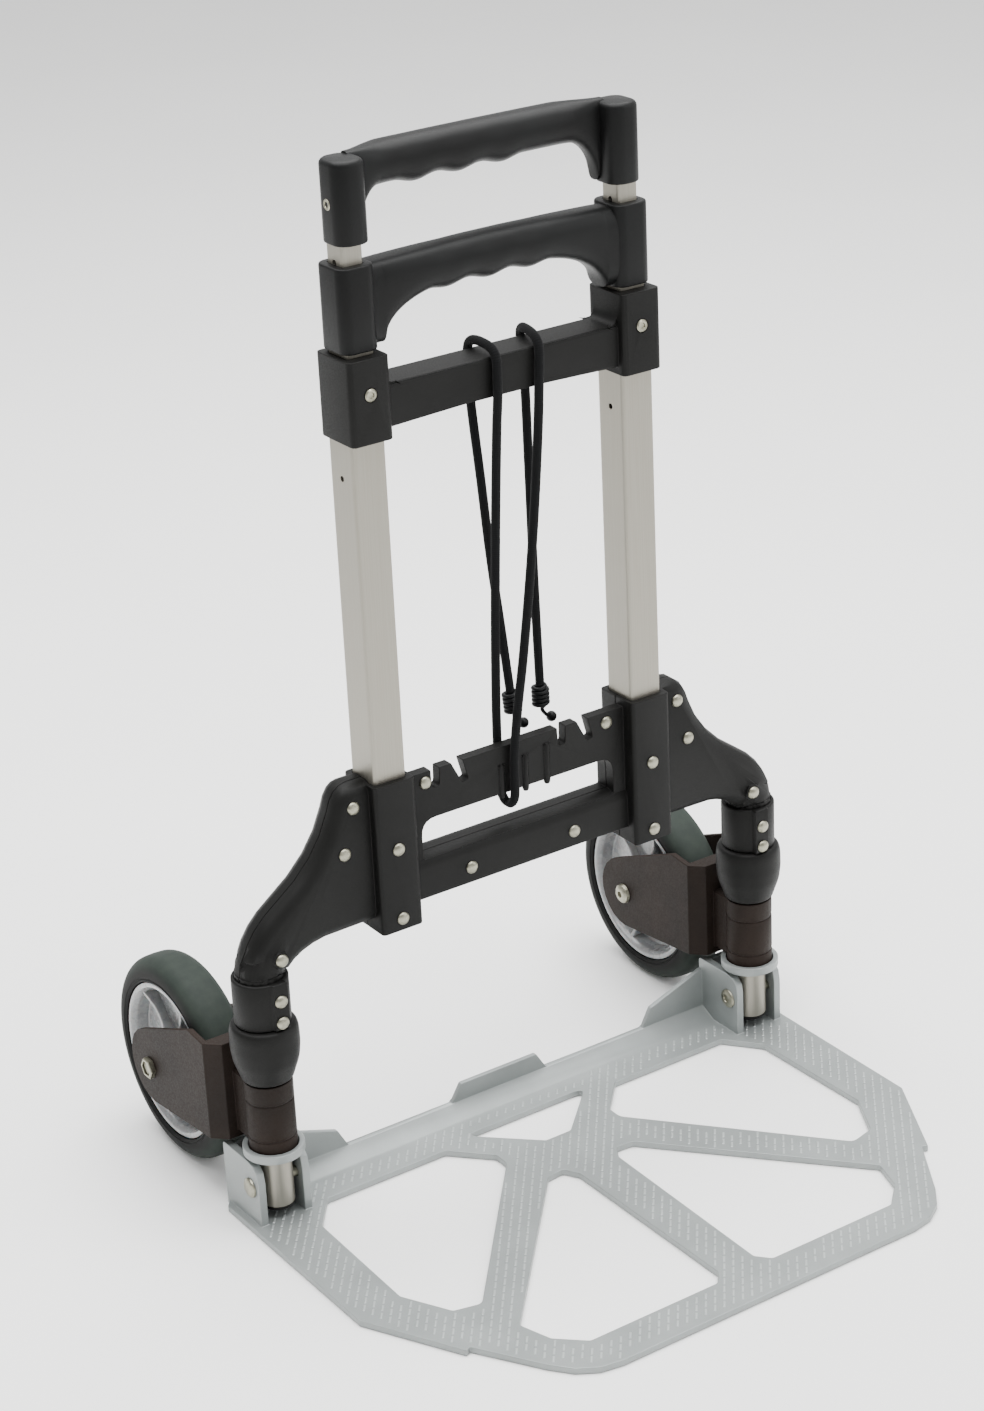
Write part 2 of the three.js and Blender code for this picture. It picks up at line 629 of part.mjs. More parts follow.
// ---------- toe plate ----------
function plateOutline() {
  const right = [
    [PLATE_HALF_W - 7, PLATE_REAR], [PLATE_HALF_W, PLATE_REAR - 9], [PLATE_HALF_W, -131],
    [PLATE_HALF_W - 38, -203], [PLATE_HALF_W - 38 - RIM_STEP, -203 + RIM_STEP / 2], [168, -248],
  ];
  const outline = new THREE.Path();
  outline.moveTo(right[0][0], right[0][1]);
  right.slice(1).forEach(([x, y]) => outline.lineTo(x, y));
  outline.quadraticCurveTo(152, PLATE_FRONT, 125, PLATE_FRONT);
  outline.lineTo(-125, PLATE_FRONT);
  outline.quadraticCurveTo(-152, PLATE_FRONT, -168, -248);
  right.slice(0, -1).reverse().forEach(([x, y]) => outline.lineTo(-x, y));
  outline.closePath();
  return outline;
}

function plateHoles() {
  const side = [[178, 9], [199, -18], [202, -124], [183, -160], [163, -165, 6], [51, -32, 9], [51, -19], [77, 9]];
  const front = [
    [38, -66], [24, -64.5], [17.5, -76], [15.5, -234], [24, -244], [130, -244], [149, -226], [157, -201],
  ];
  const centre = [[-54, 17], [54, 17], [11, -25], [-11, -25]];
  const flipped = (corners) => corners.map(([x, y, r]) => [-x, y, r]).reverse();
  return [side, flipped(side), front, flipped(front), centre].map((corners) => roundedPolygon(corners, 4));
}

function rearEdge() {
  const wall = PLATE_REAR - BEVEL.flange;
  const high = PLATE_T + BEVEL.top;
  const profile = roundedPolygon([
    [BEVEL.front - 4, 1], [PLATE_REAR, 1], [PLATE_REAR, high], [wall, high], [BEVEL.front, PLATE_T],
    [BEVEL.front - 4, PLATE_T],
  ], 0.01);
  const run = CHEEK.inner + 2;
  const tab = roundedPolygon([
    [-CENTRE_TAB.foot, PLATE_T], [CENTRE_TAB.foot, PLATE_T],
    [CENTRE_TAB.head, PLATE_T + CENTRE_TAB.height], [-CENTRE_TAB.head, PLATE_T + CENTRE_TAB.height],
  ], 2);
  const gusset = roundedPolygon([
    [GUSSET.foot, PLATE_T], [run, PLATE_T], [run, PLATE_T + GUSSET.height + 2],
    [GUSSET.knee, PLATE_T + GUSSET.kneeHeight],
  ], 3);
  const wing = frontal(gusset, wall, PLATE_REAR, [], 3);
  return union(sideways(profile, -run, run), frontal(tab, wall, PLATE_REAR), wing, mirrored(wing));
}

function hingeCheeks() {
  const { inner, outer, t, front, top } = CHEEK;
  const face = roundedPolygon([
    [front, 1, 0.1], [front, top, 13], [PLATE_REAR, top, 3], [PLATE_REAR, 1, 0.1],
  ], 2);
  const rearWall = block(inner, outer, PLATE_REAR - BEVEL.flange, PLATE_REAR, 1, top - 3);
  const right = union(sideways(face, inner, inner + t), sideways(face, outer - t, outer), rearWall);
  return right.add(mirrored(right));
}

function toePlate() {
  const holes = plateHoles().map((outline) => upright(outline, -1, PLATE_T + 1, [], 3));
  const sheet = cut(upright(plateOutline(), 0, PLATE_T, [], 3), ...holes);
  const pins = [-1, 1].map((sign) => (
    rodAlongX(HINGE_PIN_R + GAP, sign * LEG_X - 40, sign * LEG_X + 40, LEG_Y, HINGE_Z, 12)
  ));
  return cut(union(sheet, rearEdge(), hingeCheeks()), ...pins);
}

function hingePin(sign) {
  const x0 = CHEEK.inner - GAP;
  const x1 = CHEEK.outer + GAP;
  const profile = [
    [0, x0 - HINGE_HEAD_H], [HINGE_HEAD_R - 1, x0 - HINGE_HEAD_H], [HINGE_HEAD_R, x0 - 1], [HINGE_HEAD_R, x0],
    [HINGE_PIN_R, x0], [HINGE_PIN_R, x1], [HINGE_HEAD_R, x1], [HINGE_HEAD_R, x1 + 1],
    [HINGE_HEAD_R - 1, x1 + HINGE_HEAD_H], [0, x1 + HINGE_HEAD_H],
  ];
  const pin = turnedAlongX(profile, LEG_Y, HINGE_Z, 12);
  return sign > 0 ? pin : mirrored(pin);
}

// ---------- wheels and their forks ----------
const CHEEK_IN = FORK.halfW - FORK.cheekT; // from the wheel's middle plane to a fork cheek's inner face

function forkBody() {
  const { halfW, cheekT, endR, webFront, chamfer, webT, bottom, top } = FORK;
  const webY = LEG_Y + webFront;
  const cheek = new THREE.Path();
  cheek.moveTo(webY + chamfer, bottom - 4);
  cheek.lineTo(WHEEL_Y, WHEEL_R - endR);
  cheek.absarc(WHEEL_Y, WHEEL_R, endR, -Math.PI / 2, Math.PI / 2.6, false);
  cheek.lineTo(webY + chamfer + 20, top);
  cheek.lineTo(webY + chamfer, top - 2);
  cheek.closePath();
  const plan = new THREE.Path();
  plan.moveTo(-halfW, webY + webT);
  plan.lineTo(-halfW, webY + chamfer);
  plan.lineTo(chamfer - halfW, webY);
  plan.lineTo(halfW - chamfer, webY);
  plan.lineTo(halfW, webY + chamfer);
  plan.lineTo(halfW, webY + webT);
  plan.closePath();
  const web = upright(plan, bottom - 4, top - 2);
  const neck = block(-13, 13, LEG_Y, webY + 1, bottom + 2, BARREL.top - 3);
  const cheeks = [-halfW, halfW - cheekT].map((x) => sideways(cheek, x, x + cheekT, [], 5));
  const barrel = turnedUp(barrelProfile(), 0, LEG_Y);
  const bore = rod(LEG_R + GAP, 0, LEG_Y, bottom - 10, top + 1);
  const clearance = turnedUp(
    ringProfile(0, BULGE.r + 1.2, BULGE.bottom - 0.6, BULGE.top), 0, LEG_Y,
  );
  const tyreRoom = rodAlongX(WHEEL_R + 2.5, -CHEEK_IN, CHEEK_IN, WHEEL_Y, WHEEL_R, WHEEL_SIDES);
  const axleHole = rodAlongX(AXLE_R + GAP, -halfW - 1, halfW + 1, WHEEL_Y, WHEEL_R, 14);
  return cut(union(web, neck, barrel, ...cheeks), bore, clearance, tyreRoom, axleHole);
}

function barrelProfile() {
  const { r, bottom, top, groove, grooveH, rings } = BARREL;
  const outside = rings.flatMap((z) => [
    [r, z], [r - groove, z + grooveH / 2], [r, z + grooveH],
  ]);
  return [[0, bottom], [r, bottom], ...outside, [r, top], [0, top]];
}

function tyreBody() {
  const half = TYRE_W / 2;
  const rim = RIM_R + GAP;
  const arc = [0, 0.33, 0.67, 1].map((share) => share * Math.PI / 2);
  const right = arc.map((angle) => [
    WHEEL_R - TYRE_SHOULDER + TYRE_SHOULDER * Math.cos(angle),
    half - TYRE_SHOULDER + TYRE_SHOULDER * Math.sin(angle),
  ]);
  const left = right.map(([r, h]) => [r, -h]).reverse();
  return turnedAlongX([[rim, -half + 1], ...left, ...right, [rim, half - 1]], WHEEL_Y, WHEEL_R, WHEEL_SIDES);
}

function hubBody() {
  const edge = RIM_W / 2;
  const inner = RIM_R - RIM_WALL;
  const disc = DISC_T / 2;
  const boss = HUB_W / 2;
  const bore = SLEEVE_R + GAP;
  const wheel = turnedAlongX([
    [bore, -boss], [HUB_R, -boss], [HUB_R + 1, -disc], [inner, -disc], [inner + 3, -edge], [RIM_R, -edge],
    [RIM_R, edge], [inner + 3, edge], [inner, disc], [HUB_R + 1, disc], [HUB_R, boss], [bore, boss],
  ], WHEEL_Y, WHEEL_R, WHEEL_SIDES);
  const spokes = Array.from({ length: SPOKES }, (_, i) => {
    const arm = new THREE.BoxGeometry(2 * edge - 6, SPOKE_T, inner - HUB_R + 2);
    arm.translate(0, 0, (inner + HUB_R) / 2);
    arm.rotateX((i / SPOKES) * 2 * Math.PI + 0.3);
    return solid(arm.translate(0, WHEEL_Y, WHEEL_R));
  });
  return union(wheel, ...spokes);
}

function axleBolt() {
  const x0 = -FORK.halfW - GAP;
  const x1 = FORK.halfW + AXLE_HEAD_H - 1;
  return turnedAlongX([
    [0, x0 - AXLE_HEAD_H], [AXLE_HEAD_R - 2, x0 - AXLE_HEAD_H], [AXLE_HEAD_R, x0 - 1.5], [AXLE_HEAD_R, x0],
    [AXLE_R, x0], [AXLE_R, x1], [0, x1],
  ], WHEEL_Y, WHEEL_R, 14);
}

function axleNut() {
  const x0 = FORK.halfW + GAP;
  return turnedAlongX([
    [AXLE_R + GAP, x0], [AXLE_HEAD_R, x0], [AXLE_HEAD_R, x0 + 1.5], [AXLE_HEAD_R - 2, x0 + AXLE_HEAD_H],
    [AXLE_R + GAP, x0 + AXLE_HEAD_H],
  ], WHEEL_Y, WHEEL_R, 14);
}

function axleSleeve() {
  const half = CHEEK_IN - GAP;
  return turnedAlongX(ringProfile(AXLE_R + GAP, SLEEVE_R, -half, half), WHEEL_Y, WHEEL_R, 14);
}

// The bolt heads are on the inner side of each fork; the left wheel set is the mirror image of the right.
function wheelOn(side, sign) {
  const pieces = {
    fork: [forkBody(), forkBlack],
    axle_bolt: [axleBolt(), nickel],
    axle_nut: [axleNut(), nickel],
    axle_sleeve: [axleSleeve(), nickel],
    wheel_hub: [hubBody(), clearGrey],
    tyre: [tyreBody(), rubber],
  };
  Object.entries(pieces).forEach(([name, [body, material]]) => {
    const onRight = body.translate([LEG_X, 0, 0]);
    place(`${name}_${side}`, sign > 0 ? onRight : mirrored(onRight), material);
  });
}

// ---------- handles ----------
// How far below its round bar a grip's underside reaches at x: finger crests, and a fillet at each end.
function undersideDrop(grip, x) {
  const crests = grip.crests.map((crest) => {
    const share = Math.min(1, Math.abs(x - crest) / CREST_REACH);
    return CREST_DEPTH * Math.cos((share * Math.PI) / 2) ** 2;
  });
  const { from, to, drop } = grip.fillet;
  const share = THREE.MathUtils.clamp((Math.abs(x) - from) / (to - from), 0, 1);
  return Math.max(...crests) + drop * (1 - Math.sqrt(1 - share ** 2));
}

function gripBody(grip, end) {
  const { from, to } = grip.fillet;
  const middle = Array.from({ length: 15 }, (_, i) => -from + (i * from) / 7);
  const rise = [0.4, 0.65, 0.83, 0.94, 1].map((share) => from + (to - from) * share);
  const stations = [-end, ...rise.map((x) => -x).reverse(), ...middle, ...rise, end];
  const rings = stations.map((x) => {
    const top = grip.z + grip.r + grip.arch * (Math.cos((x / end) * (Math.PI / 2)) - 0.5);
    const bottom = grip.z - grip.r - undersideDrop(grip, x);
    const square = 0.9 - 0.35 * THREE.MathUtils.clamp((Math.abs(x) - from) / (to - from), 0, 1);
    const round = (value) => Math.sign(value) * Math.abs(value) ** square;
    return ringAt(GRIP_SIDES, (cos, sin) => new THREE.Vector3(
      x,
      TUBE_Y + grip.r * round(cos),
      (top + bottom) / 2 + ((top - bottom) / 2) * round(sin),
    ));
  });
  return loft(rings);
}

function handleBody(grip, column, tubeSize, tubeTop, through) {
  const y = TUBE_Y;
  const columns = [-1, 1].map((side) => {
    const x = side * (TUBE_X - column.inset);
    const outline = rectangle(x - column.w / 2, x + column.w / 2, y - column.d / 2, y + column.d / 2, column.corner);
    return solid(prism(outline, column.bottom, column.top, [], 4, 1.2));
  });
  const bores = [-TUBE_X, TUBE_X].flatMap((x) => {
    const seat = upright(tubeSection(tubeSize, GAP)(x), column.bottom - 1, tubeTop + GAP);
    return through ? [seat, upright(tubeSection(through, GAP)(x), column.bottom, column.top + 1)] : [seat];
  });
  const grips = gripBody(grip, TUBE_X - column.inset - column.w / 2 + 4);
  return cut(union(grips, ...columns), ...bores);
}

function handleScrew(faceX, z, outward) {
  const profile = countersunkScrew(HANDLE_SCREW_R, 3.4).map(([r, h]) => [r, h - 1.1]);
  const screw = solid(turned(profile, SMALL_SIDES).rotateY(-outward * Math.PI / 2).translate(faceX, TUBE_Y, z));
  return screw;
}

function screwSeat(faceX, z) {
  return rodAlongX(HANDLE_SCREW_R + GAP, faceX - 1.3, faceX + 1.3, TUBE_Y, z)
    .add(rodAlongX(HANDLE_SCREW_R * 0.45 + GAP, faceX - 4, faceX + 4, TUBE_Y, z));
}

function handles() {
  const topFace = TUBE_X - TOP_COLUMN.inset + TOP_COLUMN.w / 2;
  const midFace = TUBE_X - MID_COLUMN.inset - MID_COLUMN.w / 2;
  const topSeats = [-topFace, topFace].map((x) => screwSeat(x, TOP_SCREW_Z));
  const midSeats = [-midFace, midFace].map((x) => screwSeat(x, MID_SCREW_Z));
  const top = handleBody(TOP_GRIP, TOP_COLUMN, INNER_TUBE, INNER_TUBE_TOP, null);
  const mid = handleBody(MID_GRIP, MID_COLUMN, MID_TUBE, MID_TUBE_TOP, INNER_TUBE);
  place('top_handle', cut(top, ...topSeats), blackPlastic);
  place('mid_handle', cut(mid, ...midSeats), blackPlastic);
  [['left', -1], ['right', 1]].forEach(([side, sign]) => {
    place(`top_handle_screw_${side}`, handleScrew(sign * topFace, TOP_SCREW_Z, sign), nickel);
    place(`mid_handle_screw_${side}`, handleScrew(sign * midFace, MID_SCREW_Z, -sign), nickel);
  });
}

// ---------- elastic luggage cord ----------
// One cord loops under the upper rail; each half goes up the front, over the crossbar and down behind.
const CORD_FIRST = [
  [-6.8, 11.1, 265.2], [-6.8, 13.8, 265.6], [-6.9, 17.2, 268.8], [-7.2, 18.9, 274], [-7.8, 18.9, 300], [-8.4, 17.8, 325],
  [-9.4, 13, 385], [-10.2, 5, 470], [-10, -2.5, 550], [-9.8, -5, 572], [-9.4, -5, 588],
  [-9.2, -4.7, 594.5], [-9.1, -3, 599.3], [-9, 0.6, 602.4], [-8.8, 7, 604], [-8.4, 20, 604],
  [-8.2, 26.4, 602.4], [-8.1, 30, 599.3], [-8, 31.7, 594.5], [-8, 32, 588], [-7.6, 32.2, 565], [-1.5, 33.2, 500], [4, 34, 440],
  [10, 34, 385], [15, 34, 337],
];
const CORD_SECOND = [
  [-6.8, 9.9, 265.2], [-6.8, 7.2, 265.6], [-6.6, 3.7, 268.8], [-6.3, 1.9, 274], [-5.6, 1.9, 300], [-1.5, 1.6, 335],
  [5, 0.8, 376], [16, -1.4, 465], [22.3, -4.2, 545], [23.6, -5, 572], [24.6, -5, 588],
  [25, -4.7, 594.5], [25.6, -3, 599.3], [26.4, 0.6, 602.4], [28, 7, 604], [31, 20, 604],
  [33, 26.4, 602.4], [34.2, 30, 599.3], [35, 31.7, 594.5], [35.6, 32, 588], [37.4, 32.4, 565], [38.6, 33.4, 500], [39.2, 34, 440],
  [39.8, 34, 385], [40.6, 34, 335],
];

// A wire hook: the wound wire that grips the cord's end, a short shank and a curled, capped tip.
function cordHook(end, before) {
  const axis = new THREE.Vector3(...end).sub(new THREE.Vector3(...before)).normalize();
  const start = new THREE.Vector3(...end).addScaledVector(axis, GAP);
  const turn = new THREE.Quaternion().setFromUnitVectors(new THREE.Vector3(0, 0, 1), axis);
  const coil = turned([[0, 0], [HOOK_COIL_R - 1.5, 0], [HOOK_COIL_R, 2], [HOOK_COIL_R, HOOK_COIL_H - 2],
    [HOOK_COIL_R - 1.5, HOOK_COIL_H], [0, HOOK_COIL_H]], SMALL_SIDES);
  coil.applyQuaternion(turn).translate(start.x, start.y, start.z);
  const bottom = start.clone().addScaledVector(axis, HOOK_COIL_H - 2);
  const at = (dx, dz) => [bottom.x + dx, bottom.y, bottom.z + dz];
  const wire = bar(smoothPath([at(0, 1), at(0.8, -4), at(3.6, -9), at(7, -11.5)]), HOOK_WIRE_R, 4, 6);
  const tip = solid(new THREE.SphereGeometry(HOOK_TIP_R, 10, 6).rotateX(Math.PI / 2).translate(...at(8.6, -12.4)));
  return union(solid(coil), wire, tip);
}

function luggageCord() {
  [['first', CORD_FIRST], ['second', CORD_SECOND]].forEach(([name, route]) => {
    place(`luggage_cord_${name}`, bar(smoothPath(route), CORD_R, 2 * (route.length - 1), 8), elastic);
    place(`cord_hook_${name}`, cordHook(route[route.length - 1], route[route.length - 2]), elastic);
  });
}

// ---------- the whole truck ----------
[['left', -1], ['right', 1]].forEach(([side, sign]) => {
  tubesOn(side, sign * TUBE_X);
  legOn(side, sign);
  frameRivets(side, sign);
  wheelOn(side, sign);
  place(`hinge_pin_${side}`, hingePin(sign), nickel);
});
place('upper_crossbar', crossbar(), blackPlastic);
bracketShells();
place('toe_plate', toePlate(), castGrey);
handles();
luggageCord();

truck.position.y = -(PLATE_FRONT + WHEEL_Y + WHEEL_R) / 2;
truck.updateMatrixWorld(true);

export default truck;
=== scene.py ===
# %% [markdown]
# # A folding aluminium hand truck
# This file dresses a hand truck whose frame is already built. Its solids are loaded as fixed nodes, and
# each visible piece is either one of those nodes with a finish, or a finer surface that stands for it.
# The order is that of a maker looking at the truck: camera, finishes, cord, frame, toe plate, wheels,
# handles, rivets, and at last the floor and the lights.

import json
import math

import bmesh
import bpy
import numpy as np
from mathutils import Matrix, Vector
from mathutils.bvhtree import BVHTree


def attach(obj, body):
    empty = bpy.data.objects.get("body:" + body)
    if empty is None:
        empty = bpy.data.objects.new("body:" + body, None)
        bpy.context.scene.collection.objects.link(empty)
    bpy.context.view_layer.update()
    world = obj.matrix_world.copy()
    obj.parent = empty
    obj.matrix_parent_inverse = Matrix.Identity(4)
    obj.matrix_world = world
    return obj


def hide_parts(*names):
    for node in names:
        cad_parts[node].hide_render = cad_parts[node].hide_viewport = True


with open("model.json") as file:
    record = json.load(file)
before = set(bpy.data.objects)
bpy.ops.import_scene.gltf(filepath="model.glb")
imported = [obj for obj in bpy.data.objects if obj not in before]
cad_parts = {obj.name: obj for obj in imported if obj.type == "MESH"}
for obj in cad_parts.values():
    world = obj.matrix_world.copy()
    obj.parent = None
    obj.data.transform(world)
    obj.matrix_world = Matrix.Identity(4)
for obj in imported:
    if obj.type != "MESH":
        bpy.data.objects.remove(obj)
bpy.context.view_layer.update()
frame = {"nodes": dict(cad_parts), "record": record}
bodies = frame["record"]["behaviour"]["bodies"]
BODY_OF = {node: body for body, nodes in bodies.items() for node in nodes}
SIDES = {"left": -1, "right": 1}
MM = 0.001  # a millimetre in metres: lengths below are in millimetres where nothing else is said
TUBE_X = 108.9  # half the distance between the handle's two columns of tubes
TUBE_Y = 14.5  # the middle of those tubes, behind their front face
LEG_X, LEG_Y = 213.0, 17.0  # the middle of a leg
SHIFT_Y = 29.85  # the drawing's own y = 0 is the front face of the outer tubes

# %% [markdown]
# ## The camera
# A long lens from the front left, a little above the handle, shows the plate, the wheels and the hand
# slot together. A camera looks down its own -Z, so its matrix has three columns: right, up, and back
# towards the eye. The roll is a small tilt of the picture.

# %% Camera
EYE = Vector((-1.11507, -1.63751, 1.24679))  # metres
SENSOR_WIDTH, FOCAL_LENGTH = 36.0, 80.79
FARTHEST_SEEN = 50.0  # metres
TURN, DROP, ROLL = math.radians(-33.22), math.radians(24.26), math.radians(-2.82)
back = Vector((math.sin(TURN) * math.cos(DROP), -math.cos(TURN) * math.cos(DROP), math.sin(DROP)))
level_right = Vector((0, 0, 1)).cross(back).normalized()
level_up = back.cross(level_right)
right = level_right * math.cos(ROLL) + level_up * math.sin(ROLL)
up = level_up * math.cos(ROLL) - level_right * math.sin(ROLL)

camera = bpy.data.objects.new("camera", bpy.data.cameras.new("camera"))
camera.data.sensor_width = SENSOR_WIDTH
camera.data.lens = FOCAL_LENGTH
camera.data.clip_end = FARTHEST_SEEN
camera.matrix_world = Matrix.Translation(EYE) @ Matrix((right, up, back)).transposed().to_4x4()
bpy.context.scene.collection.objects.link(camera)
bpy.context.scene.camera = camera
print("camera is", round(EYE.length, 2), "m from the origin")

# %% [markdown]
# ## Surfaces from arrays
# Every new piece is a grid of points: row by row along one parameter, and round or across along the
# other. One function turns such a grid into a mesh, and the rest of the file only has to say where the
# points are. Lengths are written in millimetres, as on a drawing, and become metres in one place.


# %% A grid of points becomes a mesh
def skin(grid, cap=True):
    """Quads between neighbouring rows of a (rows, columns, 3) grid whose columns close into rings.

    With cap, the first and the last ring are closed by one face each.
    """
    rows, cols, _ = grid.shape
    here = np.arange(rows - 1)[:, None] * cols + np.arange(cols)[None, :]
    after = np.arange(rows - 1)[:, None] * cols + (np.arange(cols)[None, :] + 1) % cols
    quads = np.stack([here, after, after + cols, here + cols], axis=-1).reshape(-1, 4)
    faces = quads.tolist()
    if cap:
        faces.append(list(range(cols))[::-1])
        faces.append(list(range((rows - 1) * cols, rows * cols)))
    return grid.reshape(-1, 3), faces


def join(*shells):
    """Several (points, faces) shells as one, with each shell's faces counted on from the last."""
    points, faces, start = [], [], 0
    for shell_points, shell_faces in shells:
        points.append(shell_points)
        faces.extend([[index + start for index in face] for face in shell_faces])
        start += len(shell_points)
    return np.concatenate(points), faces


def in_place(points):
    """The drawing's millimetres as metres in the frame: moved back by SHIFT_Y, then scaled."""
    return (points + (0, SHIFT_Y, 0)) * MM


SAME_POINT = 1e-7  # metres


def piece(name, shell, coat, node=None, body=None, smooth=35):
    """A finished mesh in its place: doubled points merge and the faces turn outwards."""
    points, faces = shell
    mesh = bpy.data.meshes.new(name)
    mesh.from_pydata(in_place(points).tolist(), [], faces)
    work = bmesh.new()
    work.from_mesh(mesh)
    bmesh.ops.remove_doubles(work, verts=work.verts, dist=SAME_POINT)
    bmesh.ops.recalc_face_normals(work, faces=work.faces)
    work.to_mesh(mesh)
    work.free()
    mesh.shade_smooth()
    mesh.set_sharp_from_angle(angle=math.radians(smooth))
    mesh.materials.append(coat)
    made = bpy.data.objects.new(name, mesh)
    bpy.context.scene.collection.objects.link(made)
    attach(made, body or BODY_OF[node])
    if node:
        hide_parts(node)
    return made


# %% [markdown]
# ### Turned shapes, soft corners and bars
# Most parts of a wheel or a leg are turned, as on a lathe: a profile goes round an axis. Wire and cord
# are bars: a circle goes along a path. Both give a grid of points, so both end in the function above.


# %% Turned shapes, soft corners and bars
def turned(profile, centre, axis="z", sides=64):
    """A profile of (radius, height) rows carried round an axis: angle t gives (r cos t, r sin t, h)."""
    profile = np.asarray(profile, float)
    angle = np.linspace(0, 2 * np.pi, sides, endpoint=False)
    r, h = profile[:, :1], profile[:, 1:]
    a, b = r * np.cos(angle), r * np.sin(angle)
    h = np.broadcast_to(h, a.shape)
    order = {"z": (a, b, h), "x": (h, a, b), "y": (b, h, a)}[axis]
    closed = np.allclose(profile[0], profile[-1])
    grid = np.stack(order, axis=-1) + np.asarray(centre, float)
    return skin(grid, cap=not closed)


MOST_OF_EDGE = 0.45  # a rounded corner uses less than half of each edge that meets in it


def softened(corners, radius, steps=5):
    """The corners of a profile, each rounded by a quadratic curve that starts radius before it."""
    corners = np.asarray(corners, float)
    rows = [corners[0]]
    for before, here, after in zip(corners[:-2], corners[1:-1], corners[2:]):
        into, out = here - before, after - here
        room_in, room_out = np.linalg.norm(into), np.linalg.norm(out)
        reach_in = min(radius, room_in * MOST_OF_EDGE)
        reach_out = min(radius, room_out * MOST_OF_EDGE)
        start = here - into / room_in * reach_in
        end = here + out / room_out * reach_out
        t = np.linspace(0, 1, steps)[:, None]
        rows.extend((1 - t) ** 2 * start + 2 * t * (1 - t) * here + t**2 * end)
    rows.append(corners[-1])
    return np.array(rows)


def smooth_path(knots, steps=10):
    """Points on a centripetal Catmull-Rom curve: it passes through every knot without overshooting."""
    knots = np.asarray(knots, float)
    ends = np.vstack([2 * knots[0] - knots[1], knots, 2 * knots[-1] - knots[-2]])
    rows = []
    for p0, p1, p2, p3 in zip(ends[:-3], ends[1:-2], ends[2:-1], ends[3:]):
        t0 = 0.0
        t1 = t0 + np.linalg.norm(p1 - p0) ** 0.5
        t2 = t1 + np.linalg.norm(p2 - p1) ** 0.5
        t3 = t2 + np.linalg.norm(p3 - p2) ** 0.5
        t = np.linspace(t1, t2, steps, endpoint=False)[:, None]
        a1 = (t1 - t) / (t1 - t0) * p0 + (t - t0) / (t1 - t0) * p1
        a2 = (t2 - t) / (t2 - t1) * p1 + (t - t1) / (t2 - t1) * p2
        a3 = (t3 - t) / (t3 - t2) * p2 + (t - t2) / (t3 - t2) * p3
        b1 = (t2 - t) / (t2 - t0) * a1 + (t - t0) / (t2 - t0) * a2
        b2 = (t3 - t) / (t3 - t1) * a2 + (t - t1) / (t3 - t1) * a3
        rows.extend((t2 - t) / (t2 - t1) * b1 + (t - t1) / (t2 - t1) * b2)
    rows.append(knots[-1])
    return np.array(rows)


def carried(path, radius, sides=16):
    """A circle carried along a path: each ring is turned as little as possible from the last one."""
    path = np.asarray(path, float)
    along = np.gradient(path, axis=0)
    along /= np.linalg.norm(along, axis=1, keepdims=True)
    off_path = (0.3, 0.1, 0.9)  # any direction that the path doesn't start in
    first = np.cross(along[0], off_path)
    normals = [first / np.linalg.norm(first)]
    for direction in along[1:]:
        kept = normals[-1] - direction * np.dot(normals[-1], direction)
        normals.append(kept / np.linalg.norm(kept))
    normals = np.array(normals)
    sideways = np.cross(along, normals)
    radius = np.broadcast_to(radius, len(path))[:, None, None]
    angle = np.linspace(0, 2 * np.pi, sides, endpoint=False)[None, :, None]
    ring = np.cos(angle) * normals[:, None, :] + np.sin(angle) * sideways[:, None, :]
    return skin(path[:, None, :] + radius * ring)


# %% [markdown]
# ## Finishes
# Each material is named for what it is. Colours are written as on a paint card, in sRGB, and one
# function turns them into the linear values that a renderer adds up. Patterns are sized in millimetres.


# %% Nodes and colours
def linear(card, alpha=1.0):
    """An sRGB card such as 'A1B2C3' as linear light: each channel is undone by the sRGB curve."""
    channels = [int(card[i : i + 2], 16) / 255 for i in (0, 2, 4)]
    light = [c / 12.92 if c <= 0.04045 else ((c + 0.055) / 1.055) ** 2.4 for c in channels]
    return (*light, alpha)


def add(tree, kind, settings=None, links=None):
    """One node: settings fill its properties or input sockets, links join its inputs to other outputs."""
    node = tree.nodes.new(kind)
    for key, value in (settings or {}).items():
        if isinstance(key, int) or key in node.inputs:
            node.inputs[key].default_value = value
        else:
            setattr(node, key, value)
    for key, source in (links or {}).items():
        tree.links.new(source, node.inputs[key])
    return node


def finish(name, roughness, metallic=0.0, **sockets):
    """A new material with its shader's constant values set on the shader's own sockets."""
    made = bpy.data.materials.new(name)
    made.use_nodes = True
    shader = made.node_tree.nodes["Principled BSDF"]
    shader.inputs["Roughness"].default_value = roughness
    shader.inputs["Metallic"].default_value = metallic
    for socket, value in sockets.items():
        shader.inputs[socket.replace("_", " ")].default_value = value
    return made, made.node_tree, shader


def speckle(tree, size_mm, detail=4.0, stretch=(1, 1, 1)):
    """Noise whose features are about size_mm wide, on the object's own coordinates in metres."""
    where = add(tree, "ShaderNodeTexCoord")
    scaled = add(tree, "ShaderNodeMapping", {"Scale": stretch}, {"Vector": where.outputs["Object"]})
    noise = {"Scale": 1 / MM / size_mm, "Detail": detail, "Roughness": 0.55}
    return add(tree, "ShaderNodeTexNoise", noise, {"Vector": scaled.outputs["Vector"]})


def tint(tree, source, low, high, start=0.35, end=0.65):
    """A colour that goes from the low card to the high card as source goes from start to end."""
    ramp = add(tree, "ShaderNodeValToRGB", links={"Fac": source})
    ramp.color_ramp.elements[0].position = start
    ramp.color_ramp.elements[1].position = end
    ramp.color_ramp.elements[0].color = linear(low)
    ramp.color_ramp.elements[1].color = linear(high)
    return ramp.outputs["Color"]


